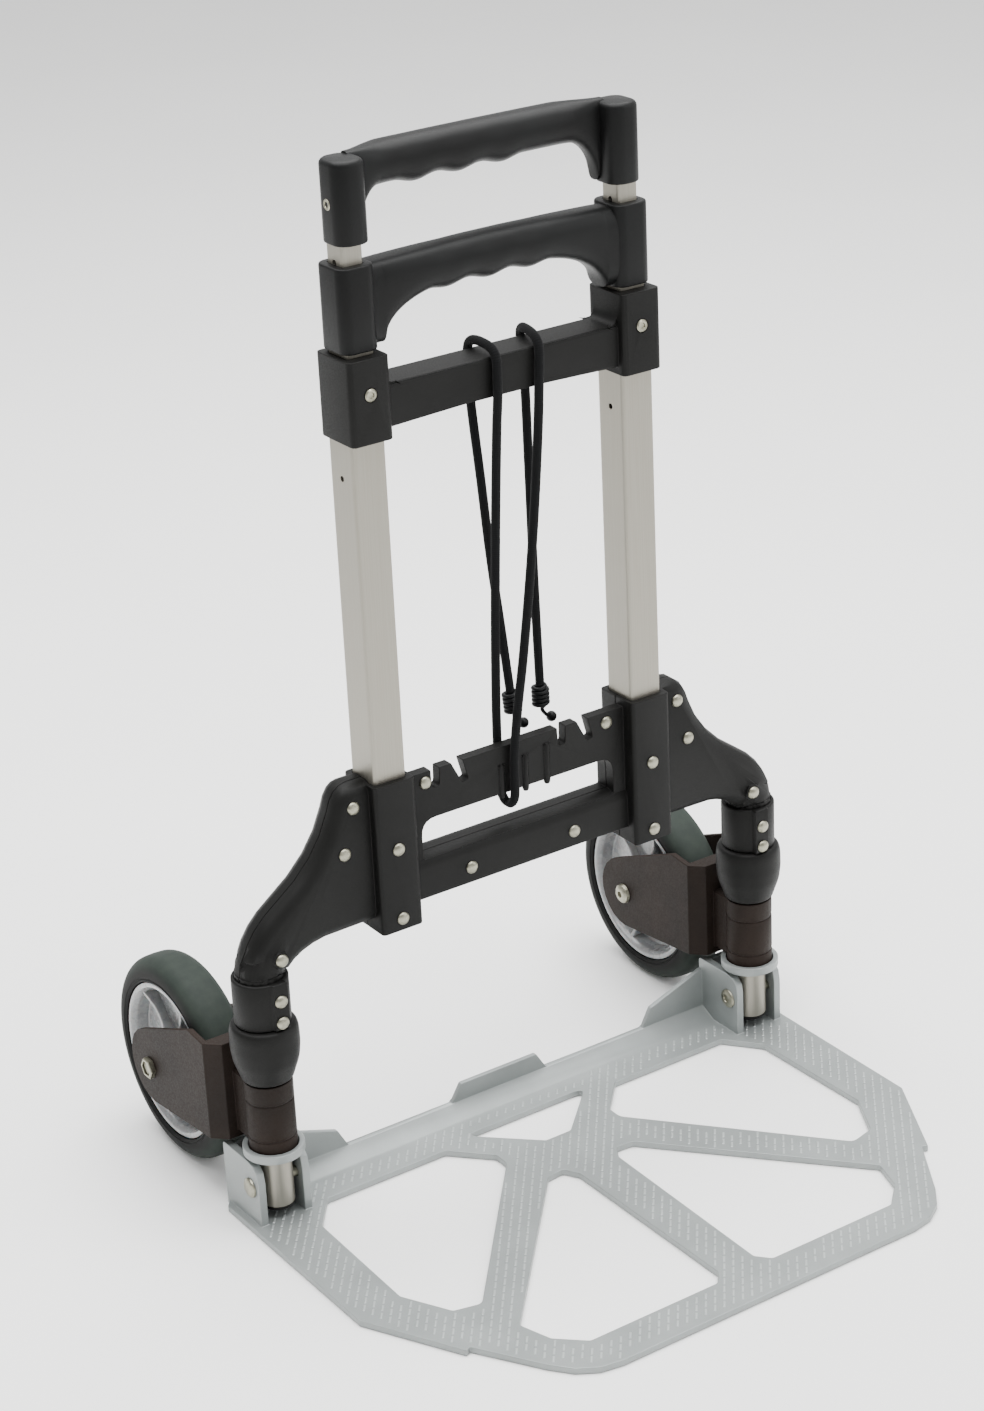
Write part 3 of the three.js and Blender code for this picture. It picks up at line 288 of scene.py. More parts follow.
def gloss(tree, shader, source, low, high):
    """Roughness that goes from low to high as source goes from 0.3 to 0.7, where noise mostly lies."""
    limits = {"From Min": 0.3, "From Max": 0.7, "To Min": low, "To Max": high}
    spread = add(tree, "ShaderNodeMapRange", limits, {"Value": source})
    tree.links.new(spread.outputs["Result"], shader.inputs["Roughness"])


def relief(tree, shader, source, height_mm, strength=1.0):
    """Bump of the given height on the shader."""
    height = {"Distance": height_mm * MM, "Strength": strength}
    bump = add(tree, "ShaderNodeBump", height, {"Height": source})
    tree.links.new(bump.outputs["Normal"], shader.inputs["Normal"])


# %% [markdown]
# ### Moulded plastic
# Polypropylene and nylon mouldings come out of a spark-eroded mould, so their skin has a grain a few
# tenths of a millimetre wide. Grain scatters the highlight: the part looks black in front and grey on
# top, where the light meets it at a low angle. The grain is drawn at about 1 mm so that it shows.

# %% Plastics
def moulded(name, low, high, roughness, grain_mm=0.9, height=0.03):
    """Grained plastic: cloudy colour over hands' breadths, grain in the relief and in the gloss."""
    made, tree, shader = finish(name, roughness, Specular_IOR_Level=0.16)
    cloud = speckle(tree, 60, detail=3)
    tree.links.new(tint(tree, cloud.outputs["Fac"], low, high), shader.inputs["Base Color"])
    grain = speckle(tree, grain_mm, detail=2)
    gloss(tree, shader, grain.outputs["Fac"], roughness - 0.06, roughness + 0.1)
    relief(tree, shader, grain.outputs["Fac"], height)
    return made


black_plastic = moulded("grained_black_polypropylene", "0B0B0A", "10100F", 0.5)
fork_plastic = moulded("brown_black_nylon", "1A130F", "221914", 0.6, grain_mm=1.2, height=0.02)
grip_plastic = moulded("black_grip_polypropylene", "0B0B0B", "0F1010", 0.42, grain_mm=0.7, height=0.02)

# %% [markdown]
# ### Aluminium
# The tubes are extruded and anodised: faint lines run the length of the tube, and the clear oxide makes
# the reflection broad. The toe plate is pressed, then sprayed with grey metallic paint, which leaves a
# soft orange peel and no lines.

# %% Metals
def extruded(name, low, high, roughness):
    """Anodised tube: noise drawn out 83 times along Z makes the fine lines in colour and gloss."""
    made, tree, shader = finish(name, roughness, metallic=0.85)
    lines = speckle(tree, 0.9, detail=3, stretch=(1, 1, 0.012))
    tree.links.new(tint(tree, lines.outputs["Fac"], low, high), shader.inputs["Base Color"])
    gloss(tree, shader, lines.outputs["Fac"], roughness - 0.05, roughness + 0.08)
    relief(tree, shader, lines.outputs["Fac"], 0.01)
    return made


anodised = extruded("anodised_extruded_aluminium", "8F8B81", "969389", 0.42)


def sprayed(name, low, high):
    """Metallic paint: soft clouds in the colour, fine flake in the gloss and orange peel in the relief."""
    made, tree, shader = finish(name, 0.42, metallic=0.35, Coat_Weight=0.15, Coat_Roughness=0.35)
    cloud = speckle(tree, 35, detail=4)
    tree.links.new(tint(tree, cloud.outputs["Fac"], low, high), shader.inputs["Base Color"])
    flake = speckle(tree, 0.8, detail=2)
    gloss(tree, shader, flake.outputs["Fac"], 0.36, 0.5)
    peel = speckle(tree, 2.5, detail=2)
    relief(tree, shader, peel.outputs["Fac"], 0.03)
    return made


painted_plate = sprayed("grey_metallic_paint", "878C8B", "8F9493")
# The strokes take a lighter copy of the plate's paint: a painted highlight for the light that their raised
# tops catch.
stroke_paint_painted_highlight = sprayed("grey_metallic_paint_painted_highlight", "A3A8A7", "ABB0AF")


def plated(name, low, high, roughness):
    """Nickel plate that has been handled: small dull patches vary the gloss."""
    made, tree, shader = finish(name, roughness, metallic=1.0)
    dull = speckle(tree, 3.0, detail=4)
    tree.links.new(tint(tree, dull.outputs["Fac"], low, high), shader.inputs["Base Color"])
    gloss(tree, shader, dull.outputs["Fac"], roughness - 0.06, roughness + 0.14)
    relief(tree, shader, dull.outputs["Fac"], 0.01)
    return made


nickel = plated("dulled_nickel_plate", "8B897A", "A09E8E", 0.34)

# %% [markdown]
# ### Rubber, cloudy plastic and braid
# The tyre's tread is a greenish grey and its walls are nearly black, so the colour follows the distance
# from the axle. The hub is cloudy plastic, and the cord's sheath is braided from crossing strands.

# %% Wheel materials
WHEEL_Y, WHEEL_R = 137.8, 77.5


def from_axle(tree):
    """Distance from the wheel's axle in metres: the length of the y and z parts of the position."""
    where = add(tree, "ShaderNodeTexCoord")
    moved = {"Location": (0, -(WHEEL_Y + SHIFT_Y) * MM, -WHEEL_R * MM), "Scale": (0, 1, 1)}
    centred = add(tree, "ShaderNodeMapping", moved, {"Vector": where.outputs["Object"]})
    links = {0: centred.outputs["Vector"]}
    return add(tree, "ShaderNodeVectorMath", {"operation": "LENGTH"}, links).outputs["Value"]


TREAD_STARTS, TREAD_IS_FULL = 66.0, 73.5


def vulcanised(name):
    """Rubber: dark walls that turn into a grey-green tread with the distance, and a fine dusty grain."""
    made, tree, shader = finish(name, 0.7, Specular_IOR_Level=0.2)
    shoulder = {"From Min": TREAD_STARTS * MM, "From Max": TREAD_IS_FULL * MM}
    share = add(tree, "ShaderNodeMapRange", shoulder, {"Value": from_axle(tree)}).outputs["Result"]
    dust = speckle(tree, 9, detail=5)
    walls = tint(tree, dust.outputs["Fac"], "0B0B0A", "0F0F0E")
    tread = tint(tree, dust.outputs["Fac"], "252C28", "2A312C")
    mixed = add(tree, "ShaderNodeMix", {"data_type": "RGBA"}, {"Factor": share})
    first_colour, second_colour, mixed_colour = mixed.inputs[6], mixed.inputs[7], mixed.outputs[2]
    tree.links.new(walls, first_colour)
    tree.links.new(tread, second_colour)
    tree.links.new(mixed_colour, shader.inputs["Base Color"])
    grain = speckle(tree, 0.8, detail=2)
    relief(tree, shader, grain.outputs["Fac"], 0.03)
    return made


tyre_rubber = vulcanised("grey_green_rubber")


def cloudy(name, low, high):
    """Translucent plastic: a milky base, a glossy skin and slow clouds where the wall is thicker."""
    coat = {"Coat_Weight": 0.4, "Coat_Roughness": 0.12}
    depth = {"Subsurface_Weight": 0.15, "Subsurface_Scale": 4 * MM}
    made, tree, shader = finish(name, 0.28, **coat, **depth)
    cloud = speckle(tree, 18, detail=3)
    tree.links.new(tint(tree, cloud.outputs["Fac"], low, high), shader.inputs["Base Color"])
    flow = speckle(tree, 5, detail=2)
    gloss(tree, shader, flow.outputs["Fac"], 0.2, 0.34)
    relief(tree, shader, flow.outputs["Fac"], 0.03)
    return made


hub_plastic = cloudy("cloudy_grey_polycarbonate", "868788", "969798")


def braided(name, low, high, turns_per_mm=0.35, strands=12):
    """Braid on the cord's own UV map: two sets of slanted bands, crossing, from sines of u and v."""
    made, tree, shader = finish(
        name, 0.85, Sheen_Weight=0.03, Sheen_Roughness=0.5, Specular_IOR_Level=0.12
    )
    where = add(tree, "ShaderNodeTexCoord")
    parts = add(tree, "ShaderNodeSeparateXYZ", links={0: where.outputs["UV"]})
    times = {"operation": "MULTIPLY"}
    length = add(tree, "ShaderNodeMath", {**times, 1: turns_per_mm}, {0: parts.outputs["X"]})
    round_it = add(tree, "ShaderNodeMath", {**times, 1: float(strands)}, {0: parts.outputs["Y"]})
    bands = []
    for way in ("ADD", "SUBTRACT"):
        sources = {0: round_it.outputs[0], 1: length.outputs[0]}
        slant = add(tree, "ShaderNodeMath", {"operation": way}, sources)
        turn = add(tree, "ShaderNodeMath", {**times, 1: 2 * math.pi}, {0: slant.outputs[0]})
        bands.append(add(tree, "ShaderNodeMath", {"operation": "SINE"}, {0: turn.outputs[0]}).outputs[0])
    both = add(tree, "ShaderNodeMath", times, {0: bands[0], 1: bands[1]})
    over = add(tree, "ShaderNodeMapRange", {"From Min": -1.0}, {"Value": both.outputs[0]})
    share = over.outputs["Result"]
    tree.links.new(tint(tree, share, low, high, 0.2, 0.8), shader.inputs["Base Color"])
    relief(tree, shader, share, 0.2, strength=0.4)
    return made


braid = braided("black_braided_sheath", "050506", "111213")
coated_wire = moulded("black_vinyl_coating", "0A0A0B", "111213", 0.34, grain_mm=1.5, height=0.02)
print("finishes:", len(bpy.data.materials))

# %% [markdown]
# ## The elastic cord
# One cord is looped under the upper rail, and each half goes up the front, over the crossbar and down
# behind to a wire hook. Elastic under light tension runs straight between what it touches and makes a
# small round bend there. A round section carried along a smooth curve is the plainest way to draw it,
# and the length along the cord is kept as its UV map so that the braid follows every bend.

# %% Two halves of one cord
CORD_R = 3.25
CORD_FIRST = [
    (-6.8, 11.1, 265.2), (-6.8, 13.8, 265.6), (-6.9, 17.2, 268.8), (-7.2, 18.9, 274), (-7.8, 18.9, 300),
    (-8.4, 17.8, 325), (-9.4, 13, 385), (-10.2, 5, 470), (-10, -2.5, 550), (-9.8, -5, 572), (-9.4, -5, 588),
    (-9.2, -4.7, 594.5), (-9.1, -3, 599.3), (-9, 0.6, 602.4), (-8.8, 7, 604), (-8.4, 20, 604),
    (-8.2, 26.4, 602.4), (-8.1, 30, 599.3), (-8, 31.7, 594.5), (-8, 32, 588), (-7.6, 32.2, 565),
    (-1.5, 33.2, 500), (4, 34, 440), (10, 34, 385), (15, 34, 337),
]
CORD_SECOND = [
    (-6.8, 9.9, 265.2), (-6.8, 7.2, 265.6), (-6.6, 3.7, 268.8), (-6.3, 1.9, 274), (-5.6, 1.9, 300),
    (-1.5, 1.6, 335), (5, 0.8, 376), (16, -1.4, 465), (22.3, -4.2, 545), (23.6, -5, 572), (24.6, -5, 588),
    (25, -4.7, 594.5), (25.6, -3, 599.3), (26.4, 0.6, 602.4), (28, 7, 604), (31, 20, 604),
    (33, 26.4, 602.4), (34.2, 30, 599.3), (35, 31.7, 594.5), (35.6, 32, 588), (37.4, 32.4, 565),
    (38.6, 33.4, 500), (39.2, 34, 440), (39.8, 34, 385), (40.6, 34, 335),
]


CORD_SIDES = 16


def measured(made, path, sides):
    """The cord's UV map: u is the length along it in millimetres and v the share of the way round."""
    run = np.concatenate([[0], np.cumsum(np.linalg.norm(np.diff(path, axis=0), axis=1))])
    mesh = made.data
    corner = np.empty(len(mesh.loops), dtype=np.int32)
    mesh.loops.foreach_get("vertex_index", corner)
    u, v = run[corner // sides], (corner % sides) / sides
    totals = np.array([face.loop_total for face in mesh.polygons])
    starts = np.concatenate([[0], np.cumsum(totals)[:-1]])
    widest = np.repeat(np.maximum.reduceat(v, starts), totals)
    v = np.where(widest - v > 0.5, v + 1, v)
    mesh.uv_layers.new(name="along").data.foreach_set("uv", np.stack([u, v], axis=-1).ravel())


# %% [markdown]
# ### The hooks
# Each end of the cord is gripped by a coil of wire that runs on into a small J with a dipped tip. The
# coil is a helix: the angle grows evenly with the height, and its first turn closes up on the cord.

# %% Coil, shank and tip
COIL_R, COIL_H, WIRE_R, TURNS = 5.15, 15.4, 1.55, 5  # COIL_R goes to the middle of the wire
COIL_STARTS, POINTS_PER_TURN = 1.0, 24
TIGHT_R, OPENING = 3.4, 0.5  # the coil's first radius, and what each radian adds to it
WIRE_STARTS = 15.3  # below the cord's end
WIRE_PATH = np.array([(0.8, -4), (3.6, -9), (7, -11.5)])  # sideways and up from there
TIP_R, TIP_SIDE, TIP_DROP = 3.9, 8.6, 12.4
CORE_LENGTH = 14.0  # the cord goes on this far inside its coil


def hook(end, before):
    """A helix round the cord's line, then a smooth path of wire, then a ball at its tip."""
    axis = np.subtract(end, before) / np.linalg.norm(np.subtract(end, before))
    side = np.cross(axis, (0, 1, 0))
    side /= np.linalg.norm(side)
    front = np.cross(axis, side)
    top = np.asarray(end) + axis * COIL_STARTS
    t = np.linspace(0, TURNS * 2 * np.pi, TURNS * POINTS_PER_TURN)
    radius = np.minimum(COIL_R, TIGHT_R + t * OPENING)
    coil = top + np.outer(COIL_H * t / t[-1], axis) + (radius * np.cos(t))[:, None] * side
    coil += (radius * np.sin(t))[:, None] * front
    low = np.asarray(end) + axis * WIRE_STARTS
    drop = low + np.insert(WIRE_PATH, 1, 0, axis=1)
    wire = smooth_path(np.vstack([coil[-1], drop]), 8)
    pole = np.linspace(0.02, math.pi - 0.02, 14)
    half_circle = np.column_stack([TIP_R * np.sin(pole), -TIP_R * np.cos(pole)])
    ball = turned(half_circle, low + (TIP_SIDE, 0, -TIP_DROP), sides=24)
    core = carried(np.stack([np.asarray(end), np.asarray(end) + axis * CORE_LENGTH]), CORD_R)
    return join(carried(coil, WIRE_R, 10), carried(wire, WIRE_R * 0.9, 10), ball, core)


for which, route in (("first", CORD_FIRST), ("second", CORD_SECOND)):
    path = smooth_path(route, 8)
    shell = carried(path, CORD_R, CORD_SIDES)
    cord = piece(f"cord_{which}", shell, braid, f"luggage_cord_{which}", smooth=60)
    measured(cord, path, CORD_SIDES)
    shell = hook(route[-1], route[-2])
    end = piece(f"hook_{which}", shell, coated_wire, f"cord_hook_{which}", smooth=50)

# %% [markdown]
# ## The frame
# The square tubes are already right, so they only take their finish. Moulded shells come out of a mould
# with rounded edges, and light shows that: the two bracket shells, the crossbar, the forks and the toe
# plate are copies of their nodes with a rounded edge a little over half a millimetre wide.

# %% Dressed nodes and rounded copies
def dress(coat, *names):
    """Each named node, on both sides of the truck, takes this finish."""
    for name in names:
        for side in SIDES:
            frame["nodes"][f"{name}_{side}"].material_slots[0].material = coat


dress(anodised, "outer_tube", "mid_tube", "inner_tube")
dress(black_plastic, "mid_tube_plug", "inner_tube_plug")
dress(nickel, "axle_sleeve")


CORNERS_MEET = 1e-5  # metres
FLAT_ENOUGH = math.radians(1.5)


def rounded_copy(node, name, coat, width_mm, sharp=32):
    """A copy of a node: corners merged, flat patches joined, then a round bevel on each sharp edge."""
    mesh = frame["nodes"][node].data.copy()
    work = bmesh.new()
    work.from_mesh(mesh)
    bmesh.ops.remove_doubles(work, verts=work.verts, dist=CORNERS_MEET)
    bmesh.ops.dissolve_limit(work, angle_limit=FLAT_ENOUGH, verts=work.verts, edges=work.edges)
    work.to_mesh(mesh)
    work.free()
    mesh.materials.clear()
    mesh.materials.append(coat)
    mesh.shade_smooth()
    mesh.set_sharp_from_angle(angle=math.radians(sharp))
    made = bpy.data.objects.new(name, mesh)
    bpy.context.scene.collection.objects.link(made)
    bevel = made.modifiers.new("rounded edges", "BEVEL")
    bevel.width = width_mm * MM
    bevel.segments = 2
    bevel.limit_method = "ANGLE"
    bevel.angle_limit = math.radians(sharp)
    bevel.use_clamp_overlap = False
    bevel.harden_normals = True
    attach(made, BODY_OF[node])
    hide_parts(node)
    print(f"{name}: {len(mesh.polygons)} faces before its bevel")


rounded_copy("upper_crossbar", "crossbar", black_plastic, 0.7)
for face in ("front", "rear"):
    rounded_copy(f"lower_bracket_{face}", f"bracket_{face}", black_plastic, 0.6, 46)
for side in SIDES:
    rounded_copy(f"fork_{side}", f"wheel_fork_{side}", fork_plastic, 0.6)

# %% [markdown]
# ### Turned parts of the legs
# The tube, the swollen collar, the cup under the fork and the foot cap are all round, so each is a short
# profile carried round the leg. Closing the profile on itself gives the part its wall.


# %% Legs
def ring_of(corners, x, radius):
    """A turned wall round a leg: the profile's corners are rounded and its end meets its start."""
    closed = corners + corners[:1]
    return turned(softened(closed, radius), (x, LEG_Y, 0), sides=72)


# Profiles are (radius, height) rows: the bore comes first and last.
TUBE_WALL = [(10.2, 15), (12, 15), (12, 206), (10.2, 206)]
COLLAR_SWELL = [(19.4, 120), (23.4, 132), (24.6, 142), (24.4, 154), (23.2, 159), (20.4, 160.6)]
COLLAR_WALL = [(12.3, 116), (18, 116), *COLLAR_SWELL, (12.3, 160.6)]
CUP_WALL = [(12.3, 56), (22, 56), (22, 62.5), (18, 62.5), (18, 58.4), (12.3, 58.4)]
LEG_SHAPES = {
    "leg_tube": (TUBE_WALL, 0.4, anodised, "anodised_aluminium"),
    "leg_collar": (COLLAR_WALL, 3.0, black_plastic, "black_plastic"),
    "leg_cup": (CUP_WALL, 0.9, painted_plate, "grey_cast_aluminium"),
}
FOOT_CAP = [(0.05, 11.7), (10.5, 11.7), (12, 13.2), (12, 14.7), (9.9, 14.7), (9.9, 22.7), (0.05, 22.7)]
for side, sign in SIDES.items():
    for name, (corners, soft, coat, slot) in LEG_SHAPES.items():
        piece(f"round_{name}_{side}", ring_of(corners, sign * LEG_X, soft), coat, f"{name}_{side}")
    cap = turned(softened(FOOT_CAP, 0.8), (sign * LEG_X, LEG_Y, 0), sides=48)
    piece(f"round_foot_cap_{side}", cap, black_plastic, f"leg_foot_cap_{side}")
print("turned parts of each leg:", len(LEG_SHAPES) + 1)

# %% [markdown]
# ### The clamp sleeves
# A clamp is a sleeve with a flat boss for two rivets. Seen from above its outline is the farther of a
# circle and a box, which is one formula in polar form, so the sleeve is that outline carried upwards.

# %% Clamp sleeves
CLAMP_LOW, CLAMP_HIGH, CLAMP_R = 161.0, 196.5, 20.0
BOSS_INNER, BOSS_OUTER, BOSS_FRONT = 9.3, 2.7, 22.0  # the box's sides, from the leg's middle
ROUND_EDGE = [(0, -1.2), (0.4, -0.4), (1.2, 0)]  # how far up the edge, and how far in from the side
SOCKET_R, SOCKET_FLOOR, LEG_BORE_R = 17.7, 165.7, 12.3
NEARLY_ZERO = 1e-6


def clamp(sign):
    """Radius at angle t: the larger of the sleeve's circle and the boss's edge, which is a box."""
    t = np.linspace(0, 2 * np.pi, 144, endpoint=False)
    c, s = np.cos(t), np.sin(t)
    low, high = sorted((-BOSS_INNER * sign, BOSS_OUTER * sign))
    side_wall = np.where(c > 0, high, low) / np.where(np.abs(c) < NEARLY_ZERO, NEARLY_ZERO, c)
    slope = np.where(np.abs(s) < NEARLY_ZERO, -NEARLY_ZERO, s)
    front_wall = np.where(s < 0, -BOSS_FRONT / slope, 0)
    outline = np.maximum(CLAMP_R, np.minimum(np.abs(side_wall), front_wall))
    levels = [(outline + inset, CLAMP_LOW + height) for height, inset in ROUND_EDGE]
    levels += [(outline + inset, CLAMP_HIGH - height) for height, inset in ROUND_EDGE[::-1]]
    levels += [(SOCKET_R, CLAMP_HIGH), (SOCKET_R, SOCKET_FLOOR)]
    levels += [(LEG_BORE_R, SOCKET_FLOOR), (LEG_BORE_R, CLAMP_LOW), levels[0]]
    rows = [np.stack([radius * c, radius * s, np.full_like(c, z)], -1) for radius, z in levels]
    return skin(np.stack(rows) + (sign * LEG_X, LEG_Y, 0), cap=False)


for side, sign in SIDES.items():
    sleeve = clamp(sign)
    piece(f"clamp_sleeve_{side}", sleeve, black_plastic, f"leg_clamp_{side}", smooth=40)
print("clamp sleeve:", CLAMP_HIGH - CLAMP_LOW, "mm high")

# %% [markdown]
# ## The toe plate
# The plate is a pressing with rounded edges, covered with short raised strokes that keep a box from
# sliding. A stroke is a low bar with a narrower top. Strokes stand on a slanted lattice, and one is kept
# where the plate is solid all round it, which a ray dropped on each of its ends tells.

# %% Plate and its grip strokes
rounded_copy("toe_plate", "plate", painted_plate, 0.7)
PLATE_TOP = 5.0
PLATE_MIDDLE = (0, -110)
STROKE = {"along": 8.8, "across": 6.2, "length": 6.8, "width": 1.7, "rise": 0.45, "lean": 52}
COLUMNS, ROWS = 80, 60  # on each side of the middle: enough to run past the plate's edges
END_MARGIN, SIDE_MARGIN = 1.6, 2.2  # solid plate that a stroke needs past its end and beside its middle
FOOT_DEPTH, EDGE_HEIGHT, TOP_INSET = 0.2, 0.1, 0.45
RAY_START = 60.0


def stroke_places():
    """A lattice turned by the lean: columns one pitch apart, every second one shifted by half."""
    i, j = np.meshgrid(np.arange(-COLUMNS, COLUMNS + 1), np.arange(-ROWS, ROWS + 1), indexing="ij")
    u, v = i * STROKE["across"], (j + 0.5 * (i % 2)) * STROKE["along"]
    lean = math.radians(STROKE["lean"])
    along = np.array([math.cos(lean), math.sin(lean)])
    beside = np.array([math.sin(lean), -math.cos(lean)])
    middle = u[..., None] * beside + v[..., None] * along + PLATE_MIDDLE
    return middle.reshape(-1, 2), along, beside


def plate_below(x, y):
    """Whether the plate's flat top, at its own height, is what a falling ray meets at this place."""
    start = Vector((x, y + SHIFT_Y, RAY_START)) * MM
    where = plate_tree.ray_cast(start, Vector((0, 0, -1)))[0]
    return where is not None and abs(where.z - PLATE_TOP * MM) < CORNERS_MEET


def strokes():
    """Low bars: a foot of the full length and width and a top that is smaller all round."""
    middle, along, beside = stroke_places()
    ahead, aside = (STROKE["length"] / 2 + END_MARGIN) * along, SIDE_MARGIN * beside
    margin = [a * ahead + b * aside for a in (-1, 0, 1) for b in (-1, 1)]
    inside = [m for m in middle if all(plate_below(*(m + offset)) for offset in margin)]
    corner = np.array([(-1, -1), (1, -1), (1, 1), (-1, 1)])
    levels = [(0, -FOOT_DEPTH), (0, EDGE_HEIGHT), (TOP_INSET, STROKE["rise"])]
    rows = []
    for shrink, height in levels:
        half = np.array([STROKE["length"] / 2 - shrink, STROKE["width"] / 2 - shrink])
        flat = (corner * half)[:, :1] * along + (corner * half)[:, 1:] * beside
        rows.append(np.column_stack([flat, np.full(4, PLATE_TOP + height)]))
    one = np.concatenate(rows)
    points = one[None] + np.column_stack([inside, np.zeros(len(inside))])[:, None, :]
    quads = [[3, 2, 1, 0], [8, 9, 10, 11]]
    quads += [[r + k, r + (k + 1) % 4, r + 4 + (k + 1) % 4, r + 4 + k] for r in (0, 4) for k in range(4)]
    faces = (np.array(quads)[None] + (np.arange(len(inside)) * 12)[:, None, None]).reshape(-1, 4)
    print("grip strokes:", len(inside))
    return points.reshape(-1, 3), faces.tolist()


plate_mesh = frame["nodes"]["toe_plate"].data
plate_corners = [vertex.co for vertex in plate_mesh.vertices]
plate_faces = [tuple(face.vertices) for face in plate_mesh.polygons]
plate_tree = BVHTree.FromPolygons(plate_corners, plate_faces)
# The strokes wear the lighter paint, a painted highlight on their raised tops.
piece("grip_strokes", strokes(), stroke_paint_painted_highlight, body=BODY_OF["toe_plate"])

# %% [markdown]
# ## Wheels
# A tyre is a solid ring with a round shoulder on each side. The hub is one moulding: a rim, a thin disc
# and a boss, with six ribs on each face.


# %% Tyres
SHOULDER_R, SHOULDER_MIDDLE = 12.0, (65.3, 5.3)
TYRE_WALL = [(63.6, 17.3), (63.0, 16.7), (62.2, 16.7), (61.6, 17.3), (60.2, 16.4)]


def tyre_profile():
    """A tread that bulges slightly, shoulders as quarter circles, and walls with a shallow groove."""
    quarter = np.linspace(0, np.pi / 2, 12)
    shoulder = SHOULDER_MIDDLE + SHOULDER_R * np.column_stack([np.cos(quarter), np.sin(quarter)])
    half = np.vstack([[(WHEEL_R, 0)], shoulder, TYRE_WALL])
    other = half[::-1] * (1, -1)
    return np.vstack([half, other])


def on_wheel(profile, sign, sides):
    """A profile of (radius, place across) rows about the axle of one wheel."""
    return turned(np.asarray(profile) * (1, sign), (sign * LEG_X, WHEEL_Y, WHEEL_R), axis="x", sides=sides)


HUB_HALF = [(7.8, 20), (13, 20), (14.5, 3.5), (17, 2.5), (52, 2.5), (53.5, 12), (56, 16), (59.5, 16)]
RIBS, FIRST_RIB, RIB_STATIONS = 6, 0.3, 12
RIB_FROM, RIB_TO, RIB_HALF_THICK = 12, 55, 2.0
RIB_DEEP, RIB_DIP = 13, 4.5  # half its depth at boss and rim, and how much less in between
NEARLY_SQUARE = 0.35


def rounded_square(t, power):
    """A unit ring between a circle (power 1) and a square (power 0): sign(f) * |f| ** power."""
    c, s = np.cos(t), np.sin(t)
    return np.sign(c) * np.abs(c) ** power, np.sign(s) * np.abs(s) ** power


def hub_shells(sign):
    """The rim, disc and boss as one turned wall, and the ribs as rounded bars from boss to rim."""
    wall = HUB_HALF + [(r, -h) for r, h in HUB_HALF[::-1]] + [HUB_HALF[0]]
    shells = [on_wheel(softened(wall, 1.2, 4), sign, 96)]
    thick, deep = rounded_square(np.linspace(0, 2 * np.pi, 24, endpoint=False), NEARLY_SQUARE)
    r = np.linspace(RIB_FROM, RIB_TO, RIB_STATIONS)[:, None, None]
    depth = RIB_DEEP - RIB_DIP * np.sin(np.linspace(0, np.pi, RIB_STATIONS))[:, None, None]
    for angle in np.arange(RIBS) * 2 * np.pi / RIBS + FIRST_RIB:
        out = np.array([0, -math.sin(angle), math.cos(angle)])
        beside = np.array([0, math.cos(angle), math.sin(angle)])
        bar = r * out + RIB_HALF_THICK * thick[:, None] * beside
        bar = bar + depth * deep[:, None] * (1, 0, 0)
        shells.append(skin(bar + (sign * LEG_X, WHEEL_Y, WHEEL_R)))
    return join(*shells)


# Profiles are (radius, place across) rows, from the outside of the truck towards its middle.
AXLE_CROWN = [(0.05, -32.6), (2.2, -32.6), (2.6, -34.4), (5.4, -34.2), (7.4, -32.6), (8, -30.3)]
AXLE_SHANK = [(5, -30.3), (5, 33), (0.05, 33)]
AXLE_NUT = [(6, 30.3), (8.2, 30.3), (8.2, 33.6), (7.4, 34.3), (6, 34.3), (6, 30.3)]
for side, sign in SIDES.items():
    tyre = on_wheel(tyre_profile(), sign, 128)
    piece(f"round_tyre_{side}", tyre, tyre_rubber, f"tyre_{side}")
    piece(f"ribbed_hub_{side}", hub_shells(sign), hub_plastic, f"wheel_hub_{side}")
    bolt = on_wheel(AXLE_CROWN + AXLE_SHANK, sign, 40)
    piece(f"axle_{side}", bolt, nickel, f"axle_bolt_{side}")
    nut = on_wheel(AXLE_NUT, sign, 6)
    piece(f"hex_nut_{side}", nut, nickel, f"axle_nut_{side}")
print("wheels are", 2 * WHEEL_R, "mm across")

# %% [markdown]
# ## Handles
# Each handle is a grip between two pillars. The grip's underside has three finger crests and turns down
# into each pillar, so its lower edge is a formula of x; each station is a rounded ring between the upper
# and the lower edge. The top grip stands behind its pillars, so its ends bend forward. A pillar is a
# rounded rectangle carried up, over the top and down its own bore.

# %% Grips and pillars
GRIPS = {
    "top": {"z": 734.6, "r": 14, "arch": 0.6, "crests": (-46, -12, 22), "end": 100.4, "back": 16},
    "mid": {"z": 665, "r": 13.8, "arch": 2.6, "crests": (-36, -3, 30), "end": 97.4, "back": 0},
}
FILLETS = {"top": {"from": 76, "to": 93, "drop": 27}, "mid": {"from": 34, "to": 88, "drop": 28.4}}
CREST_HEIGHT, CREST_REACH = 3.0, 16.5
ROUND_POWER, SQUARER_AT_END = 0.9, 0.35
BEND_LENGTH = 34.0
BACK_AT_END, THINNER_AT_END = 0.425, 0.4875  # shares of the distance that the grip stands back
SMALL_REST = 0.001


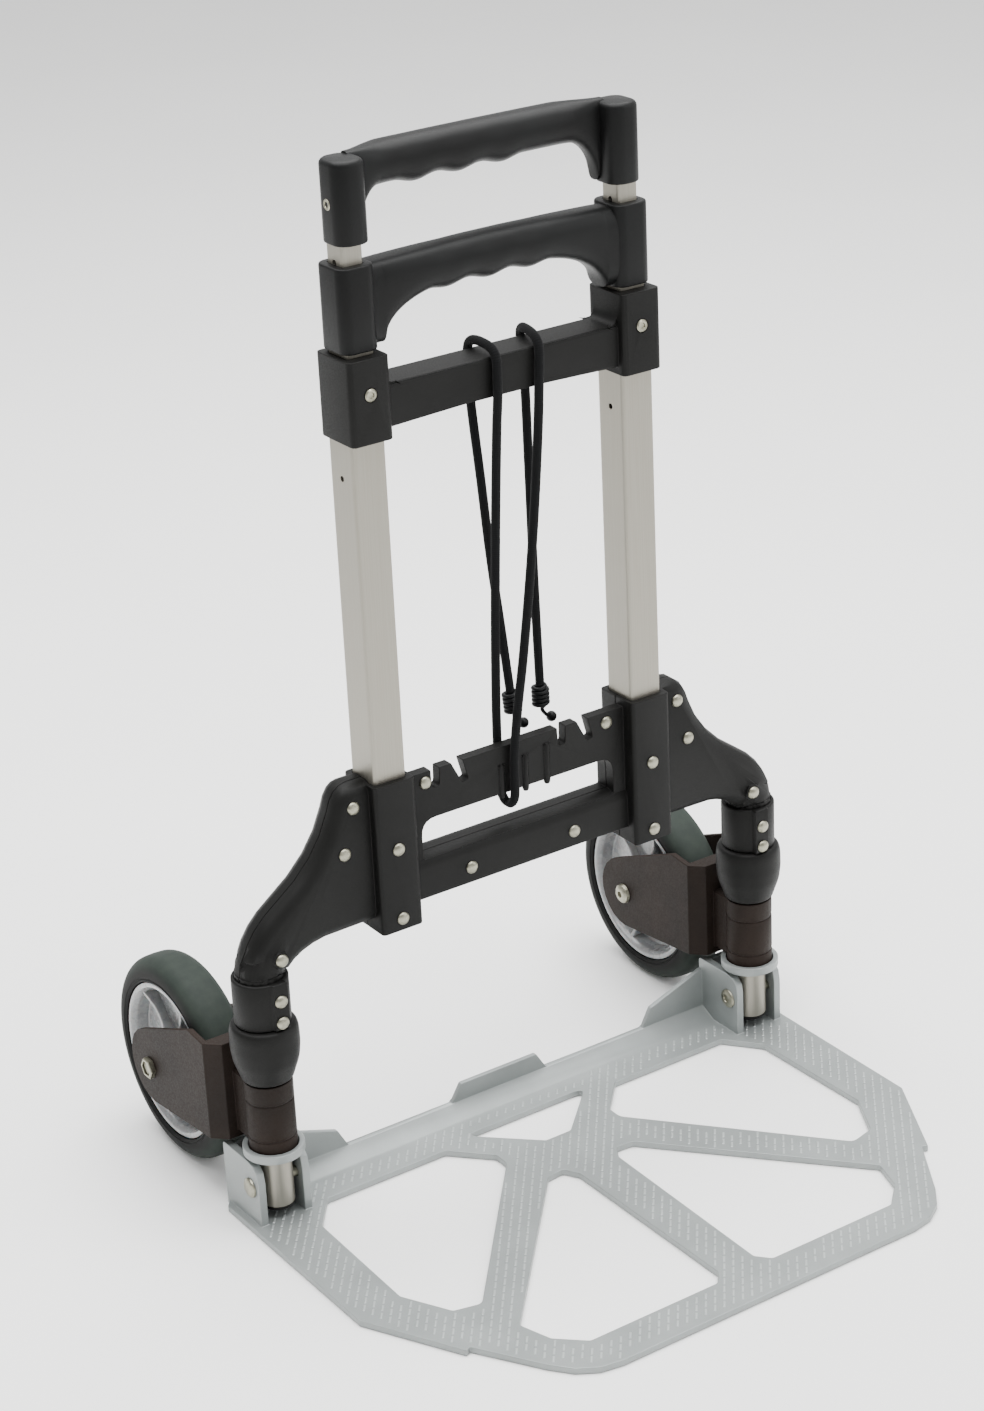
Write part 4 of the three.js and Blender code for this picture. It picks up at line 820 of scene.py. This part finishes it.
def grip(g, fillet):
    """Rings along x from the upper edge (an arch) to the lower edge (crests and end fillets).

    A crest is a cosine squared, and a fillet a quarter circle stretched to its drop. Between its ends
    the grip stands back behind the tubes, and a smooth step brings each end into the rear of its pillar.
    """
    x = np.linspace(-g["end"], g["end"], 260)
    share = np.clip((np.abs(x) - fillet["from"]) / (fillet["to"] - fillet["from"]), 0, 1)
    away = np.minimum(1, np.abs(x[:, None] - np.array(g["crests"])) / CREST_REACH)
    crests = (CREST_HEIGHT * np.cos(away * np.pi / 2) ** 2).max(axis=1)
    lower = g["z"] - g["r"] - crests - fillet["drop"] * (1 - np.sqrt(1 - share**2))
    arch = np.cos(x / (g["end"] + SMALL_REST) * np.pi / 2) - 0.5
    upper = g["z"] + g["r"] + g["arch"] * arch
    power = (ROUND_POWER - SQUARER_AT_END * share)[:, None]
    wide, high = rounded_square(np.linspace(0, 2 * np.pi, 48, endpoint=False), power)
    middle, half = ((upper + lower) / 2)[:, None], ((upper - lower) / 2)[:, None]
    straight = np.clip((g["end"] - np.abs(x)) / BEND_LENGTH, 0, 1)[:, None]
    straight = straight**2 * (3 - 2 * straight)
    behind = TUBE_Y + g["back"] * (BACK_AT_END + (1 - BACK_AT_END) * straight)
    depth = g["r"] - g["back"] * THINNER_AT_END * (1 - straight)
    along = np.broadcast_to(x[:, None], wide.shape)
    return skin(np.stack([along, behind + depth * wide, middle + half * high], -1))


def pillar(levels, per=9):
    """Rounded rectangles (middle x, half width, half depth, corner, z): quarter circles at four corners."""
    turn = np.linspace(0, np.pi / 2, per)
    angle = np.concatenate([turn + k * np.pi / 2 for k in range(4)])
    sx = np.repeat([1, -1, -1, 1], per)
    sy = np.repeat([1, 1, -1, -1], per)
    rows = []
    for x, half_w, half_d, corner, z in levels:
        px = x + sx * (half_w - corner) + corner * np.cos(angle)
        py = TUBE_Y + sy * (half_d - corner) + corner * np.sin(angle)
        rows.append(np.stack([px, py, np.full_like(px, z)], -1))
    return skin(np.stack(rows))


def rim_levels(x, half_w, half_d, corner, low, high, crown):
    """The outside of a pillar from bottom to top: a 1 mm round below and one of crown mm on top."""
    t = np.linspace(0, np.pi / 2, 5)
    rounds = [(1 - s, low + 1 - c) for s, c in zip(np.sin(t), np.cos(t))]
    rounds += [(crown * (1 - c), high - crown * (1 - s)) for s, c in zip(np.sin(t), np.cos(t))]
    return [(x, half_w - inset, half_d - inset, corner - inset, z) for inset, z in rounds]


# Sections are (half width, half depth, corner); a point is a section too small to see.
POINT, NARROW_BORE, WIDE_BORE = (0.1, 0.1, 0.05), (8.3, 9.8, 0.8), (10.8, 12.3, 1.8)
TOP_PILLAR, TOP_PILLAR_X, TOP_CROWN = (12.3, 14.3, 10), 107.3, 4
TOP_LOW, TOP_CEILING, TOP_EDGE, TOP_HIGH = 692.3, 738.3, 747, 747.2
MID_PILLAR, MID_CROWN = (14, 16, 8), 1.6
MID_LOW, MID_STEP, MID_HIGH = 622, 672.3, 679


def top_pillar(sign):
    """Closed at the top: the bore's ceiling, down the bore, round the rim, up, and over."""
    x, tube_x = sign * TOP_PILLAR_X, sign * TUBE_X
    bore = [(POINT, TOP_CEILING), (NARROW_BORE, TOP_CEILING), (NARROW_BORE, TOP_LOW)]
    levels = [(tube_x, *section, z) for section, z in bore]
    levels += rim_levels(x, *TOP_PILLAR, TOP_LOW, TOP_EDGE, TOP_CROWN)
    return pillar(levels + [(x, *POINT, TOP_HIGH)])


def mid_pillar(sign):
    """Open at both ends: outside, over the rim, down the narrow bore, a step, and down the wide bore."""
    x = sign * TUBE_X
    outside = rim_levels(x, *MID_PILLAR, MID_LOW, MID_HIGH, MID_CROWN)
    bore = [(NARROW_BORE, MID_HIGH), (NARROW_BORE, MID_STEP), (WIDE_BORE, MID_STEP), (WIDE_BORE, MID_LOW)]
    return pillar(outside + [(x, *section, z) for section, z in bore] + outside[:1])


for name, upright in (("top", top_pillar), ("mid", mid_pillar)):
    shell = join(grip(GRIPS[name], FILLETS[name]), upright(-1), upright(1))
    piece(f"{name}_grip", shell, grip_plastic, f"{name}_handle")
    print(f"{name} handle: {len(shell[1])} faces")

# %% [markdown]
# ## Rivets, screws and pins
# A set rivet has a domed head at each end of its shank. The bracket's shells are held by rows of them,
# and all are one profile, carried round a line that runs from front to back.


# %% Fasteners
HEAD_R, HEAD_RISE, SHANK_R = 4.8, 2.6, 2.3


def rivet(x, z, front, rear):
    """A dome in front and one behind: radius r at height rise * sqrt(1 - (r / head)^2)."""
    t = np.linspace(0.02, np.pi / 2, 9)
    dome = np.column_stack([HEAD_R * np.sin(t), HEAD_RISE * np.cos(t)])
    ahead = [(r, front - h) for r, h in dome]
    behind = [(r, rear + h) for r, h in dome[::-1]]
    shank = [(SHANK_R, front), (SHANK_R, rear)]
    return turned(ahead + shank + behind, (x, 0, z), axis="y", sides=32)


WELL = [(0.05, 0.9), (1.7, 0.7), (2.1, -0.2)]  # radius and depth under the face
RIM = [(0.8, -0.3), (1, 0.5), (1, 1.3), (0.45, 2), (0.45, 5)]  # share of the head's radius, and depth
SHANK_END = (0.05, 5)


def screw(centre, face, way, axis, r):
    """A low head with a shallow round well in its middle; way is +1 or -1, into the part."""
    rows = WELL + [(r * share, depth) for share, depth in RIM] + [SHANK_END]
    profile = [(radius, face + way * depth) for radius, depth in rows]
    return turned(profile, centre, axis=axis, sides=32)


# Across the truck, height, front face and rear face of what each rivet joins.
NODE_RIVETS = {
    "box_rivet_lower": (TUBE_X, 213.6, -5.7, 33.8, "tube_rivet_lower"),
    "box_rivet_upper": (TUBE_X, 267, -5.7, 33.8, "tube_rivet_upper"),
    "sleeve_rivet_lower": (209.7, 166.5, -5.2, -3.6, "clamp_rivet_lower"),
    "sleeve_rivet_upper": (209.7, 183, -5.2, -3.6, "clamp_rivet_upper"),
    "arm_end_rivet": (204.4, 211.3, -1.2, 35.2, "elbow_rivet"),
}
SHELL_RIVETS = {
    "rail": (77.3, 303.8, 5.9, 15),
    "grip_bar": (44.4, 228.7, 3.4, 31),
    "arm": (138.1, 304.5, 2.3, 30),
    "arm_low": (147.3, 272.1, 2.3, 30),
}
COLLAR_SCREW_Z, COLLAR_FACE, COLLAR_SCREW_R = 595, -7.6, 4.4
TOP_SCREW_Z, TOP_SCREW_FACE, MID_SCREW_Z, MID_SCREW_FACE, GRIP_SCREW_R = 718.5, 119.9, 630, 94.6, 4.0
PIN_Z = 32.5
PIN_HEAD = [(0.05, 190.4), (2.4, 190.4), (2.8, 189.3), (5.6, 189.5), (7.2, 190.6), (7.5, 191.7)]
PIN_TAIL = [(4, 191.7), (4, 234.3), (7.5, 234.3), (7.2, 235.4), (5.6, 236.6), (0.05, 236.9)]
for side, sign in SIDES.items():
    shells = {}
    for name, (x, z, front, rear, node) in NODE_RIVETS.items():
        shells[name] = (rivet(sign * x, z, front, rear), node)
    collar_bolt = screw((sign * TUBE_X, 0, COLLAR_SCREW_Z), COLLAR_FACE, 1, "y", COLLAR_SCREW_R)
    shells["collar_bolt"] = (collar_bolt, "collar_screw")
    top_bolt = screw((0, TUBE_Y, TOP_SCREW_Z), sign * TOP_SCREW_FACE, -sign, "x", GRIP_SCREW_R)
    shells["top_bolt"] = (top_bolt, "top_handle_screw")
    mid_bolt = screw((0, TUBE_Y, MID_SCREW_Z), sign * MID_SCREW_FACE, sign, "x", GRIP_SCREW_R)
    shells["mid_bolt"] = (mid_bolt, "mid_handle_screw")
    pin = turned(np.array(PIN_HEAD + PIN_TAIL) * (1, sign), (0, LEG_Y, PIN_Z), axis="x", sides=40)
    shells["hinge_bolt"] = (pin, "hinge_pin")
    for name, (shell, node) in shells.items():
        piece(f"{name}_{side}", shell, nickel, f"{node}_{side}")
    print(f"fasteners on the {side}:", len(shells))

for name, (x, z, front, rear) in SHELL_RIVETS.items():
    both = join(rivet(-x, z, front, rear), rivet(x, z, front, rear))
    piece(f"{name}_rivets", both, nickel, body="chassis")

# %% [markdown]
# ## The floor and the light
# A plain pale floor, a white surround and two large soft panels show the shape without hard shadows. The
# surround is brighter on the right than on the left, so that the two faces of a square tube differ.

# %% Floor, surround and lamps
def floor_finish():
    """Matt pale paint with slow clouds that are barely there."""
    made, tree, shader = finish("pale_matt_floor", 0.85, Specular_IOR_Level=0.2)
    cloud = speckle(tree, 400, detail=2)
    tree.links.new(tint(tree, cloud.outputs["Fac"], "FAFAF9", "FCFCFB"), shader.inputs["Base Color"])
    return made


FLOOR_REACH, FLOOR_Z = 30.0, -0.0002  # metres: just under the wheels
floor_mesh = bpy.data.meshes.new("floor")
unit_square = np.array([(-1, -1, 0), (1, -1, 0), (1, 1, 0), (-1, 1, 0)])
floor_corners = unit_square * FLOOR_REACH + (0, 0, FLOOR_Z)
floor_mesh.from_pydata(floor_corners.tolist(), [], [(0, 1, 2, 3)])
floor_mesh.materials.append(floor_finish())
floor = bpy.data.objects.new("floor", floor_mesh)
bpy.context.scene.collection.objects.link(floor)

world = bpy.data.worlds.new("pale surround")
world.use_nodes = True
sky = world.node_tree
sky.nodes["Background"].inputs["Color"].default_value = linear("FFFFFF")
looking = add(sky, "ShaderNodeTexCoord")
axes = add(sky, "ShaderNodeSeparateXYZ", links={0: looking.outputs["Generated"]})
left_to_right = {"From Min": -1.0, "To Min": 0.6, "To Max": 1.35}
brightness = add(sky, "ShaderNodeMapRange", left_to_right, {"Value": axes.outputs["X"]})
sky.links.new(brightness.outputs["Result"], sky.nodes["Background"].inputs["Strength"])
bpy.context.scene.world = world


TRUCK_MIDDLE = Vector((0, 0, 0.35))  # metres, as are the lamps' places and sizes


def panel(name, place, size, power):
    """A square area lamp that faces the middle of the truck."""
    lamp = bpy.data.lights.new(name, "AREA")
    lamp.size = size
    lamp.energy = power
    shown = bpy.data.objects.new(name, lamp)
    away = (Vector(place) - TRUCK_MIDDLE).to_track_quat("Z", "Y")
    shown.matrix_world = Matrix.Translation(place) @ away.to_matrix().to_4x4()
    bpy.context.scene.collection.objects.link(shown)


panel("overhead panel", (0.1, 0.2, 2.6), 3.0, 210)
panel("front right panel", (1.9, -1.6, 1.5), 1.6, 18)
print("lamps:", len(bpy.data.lights))
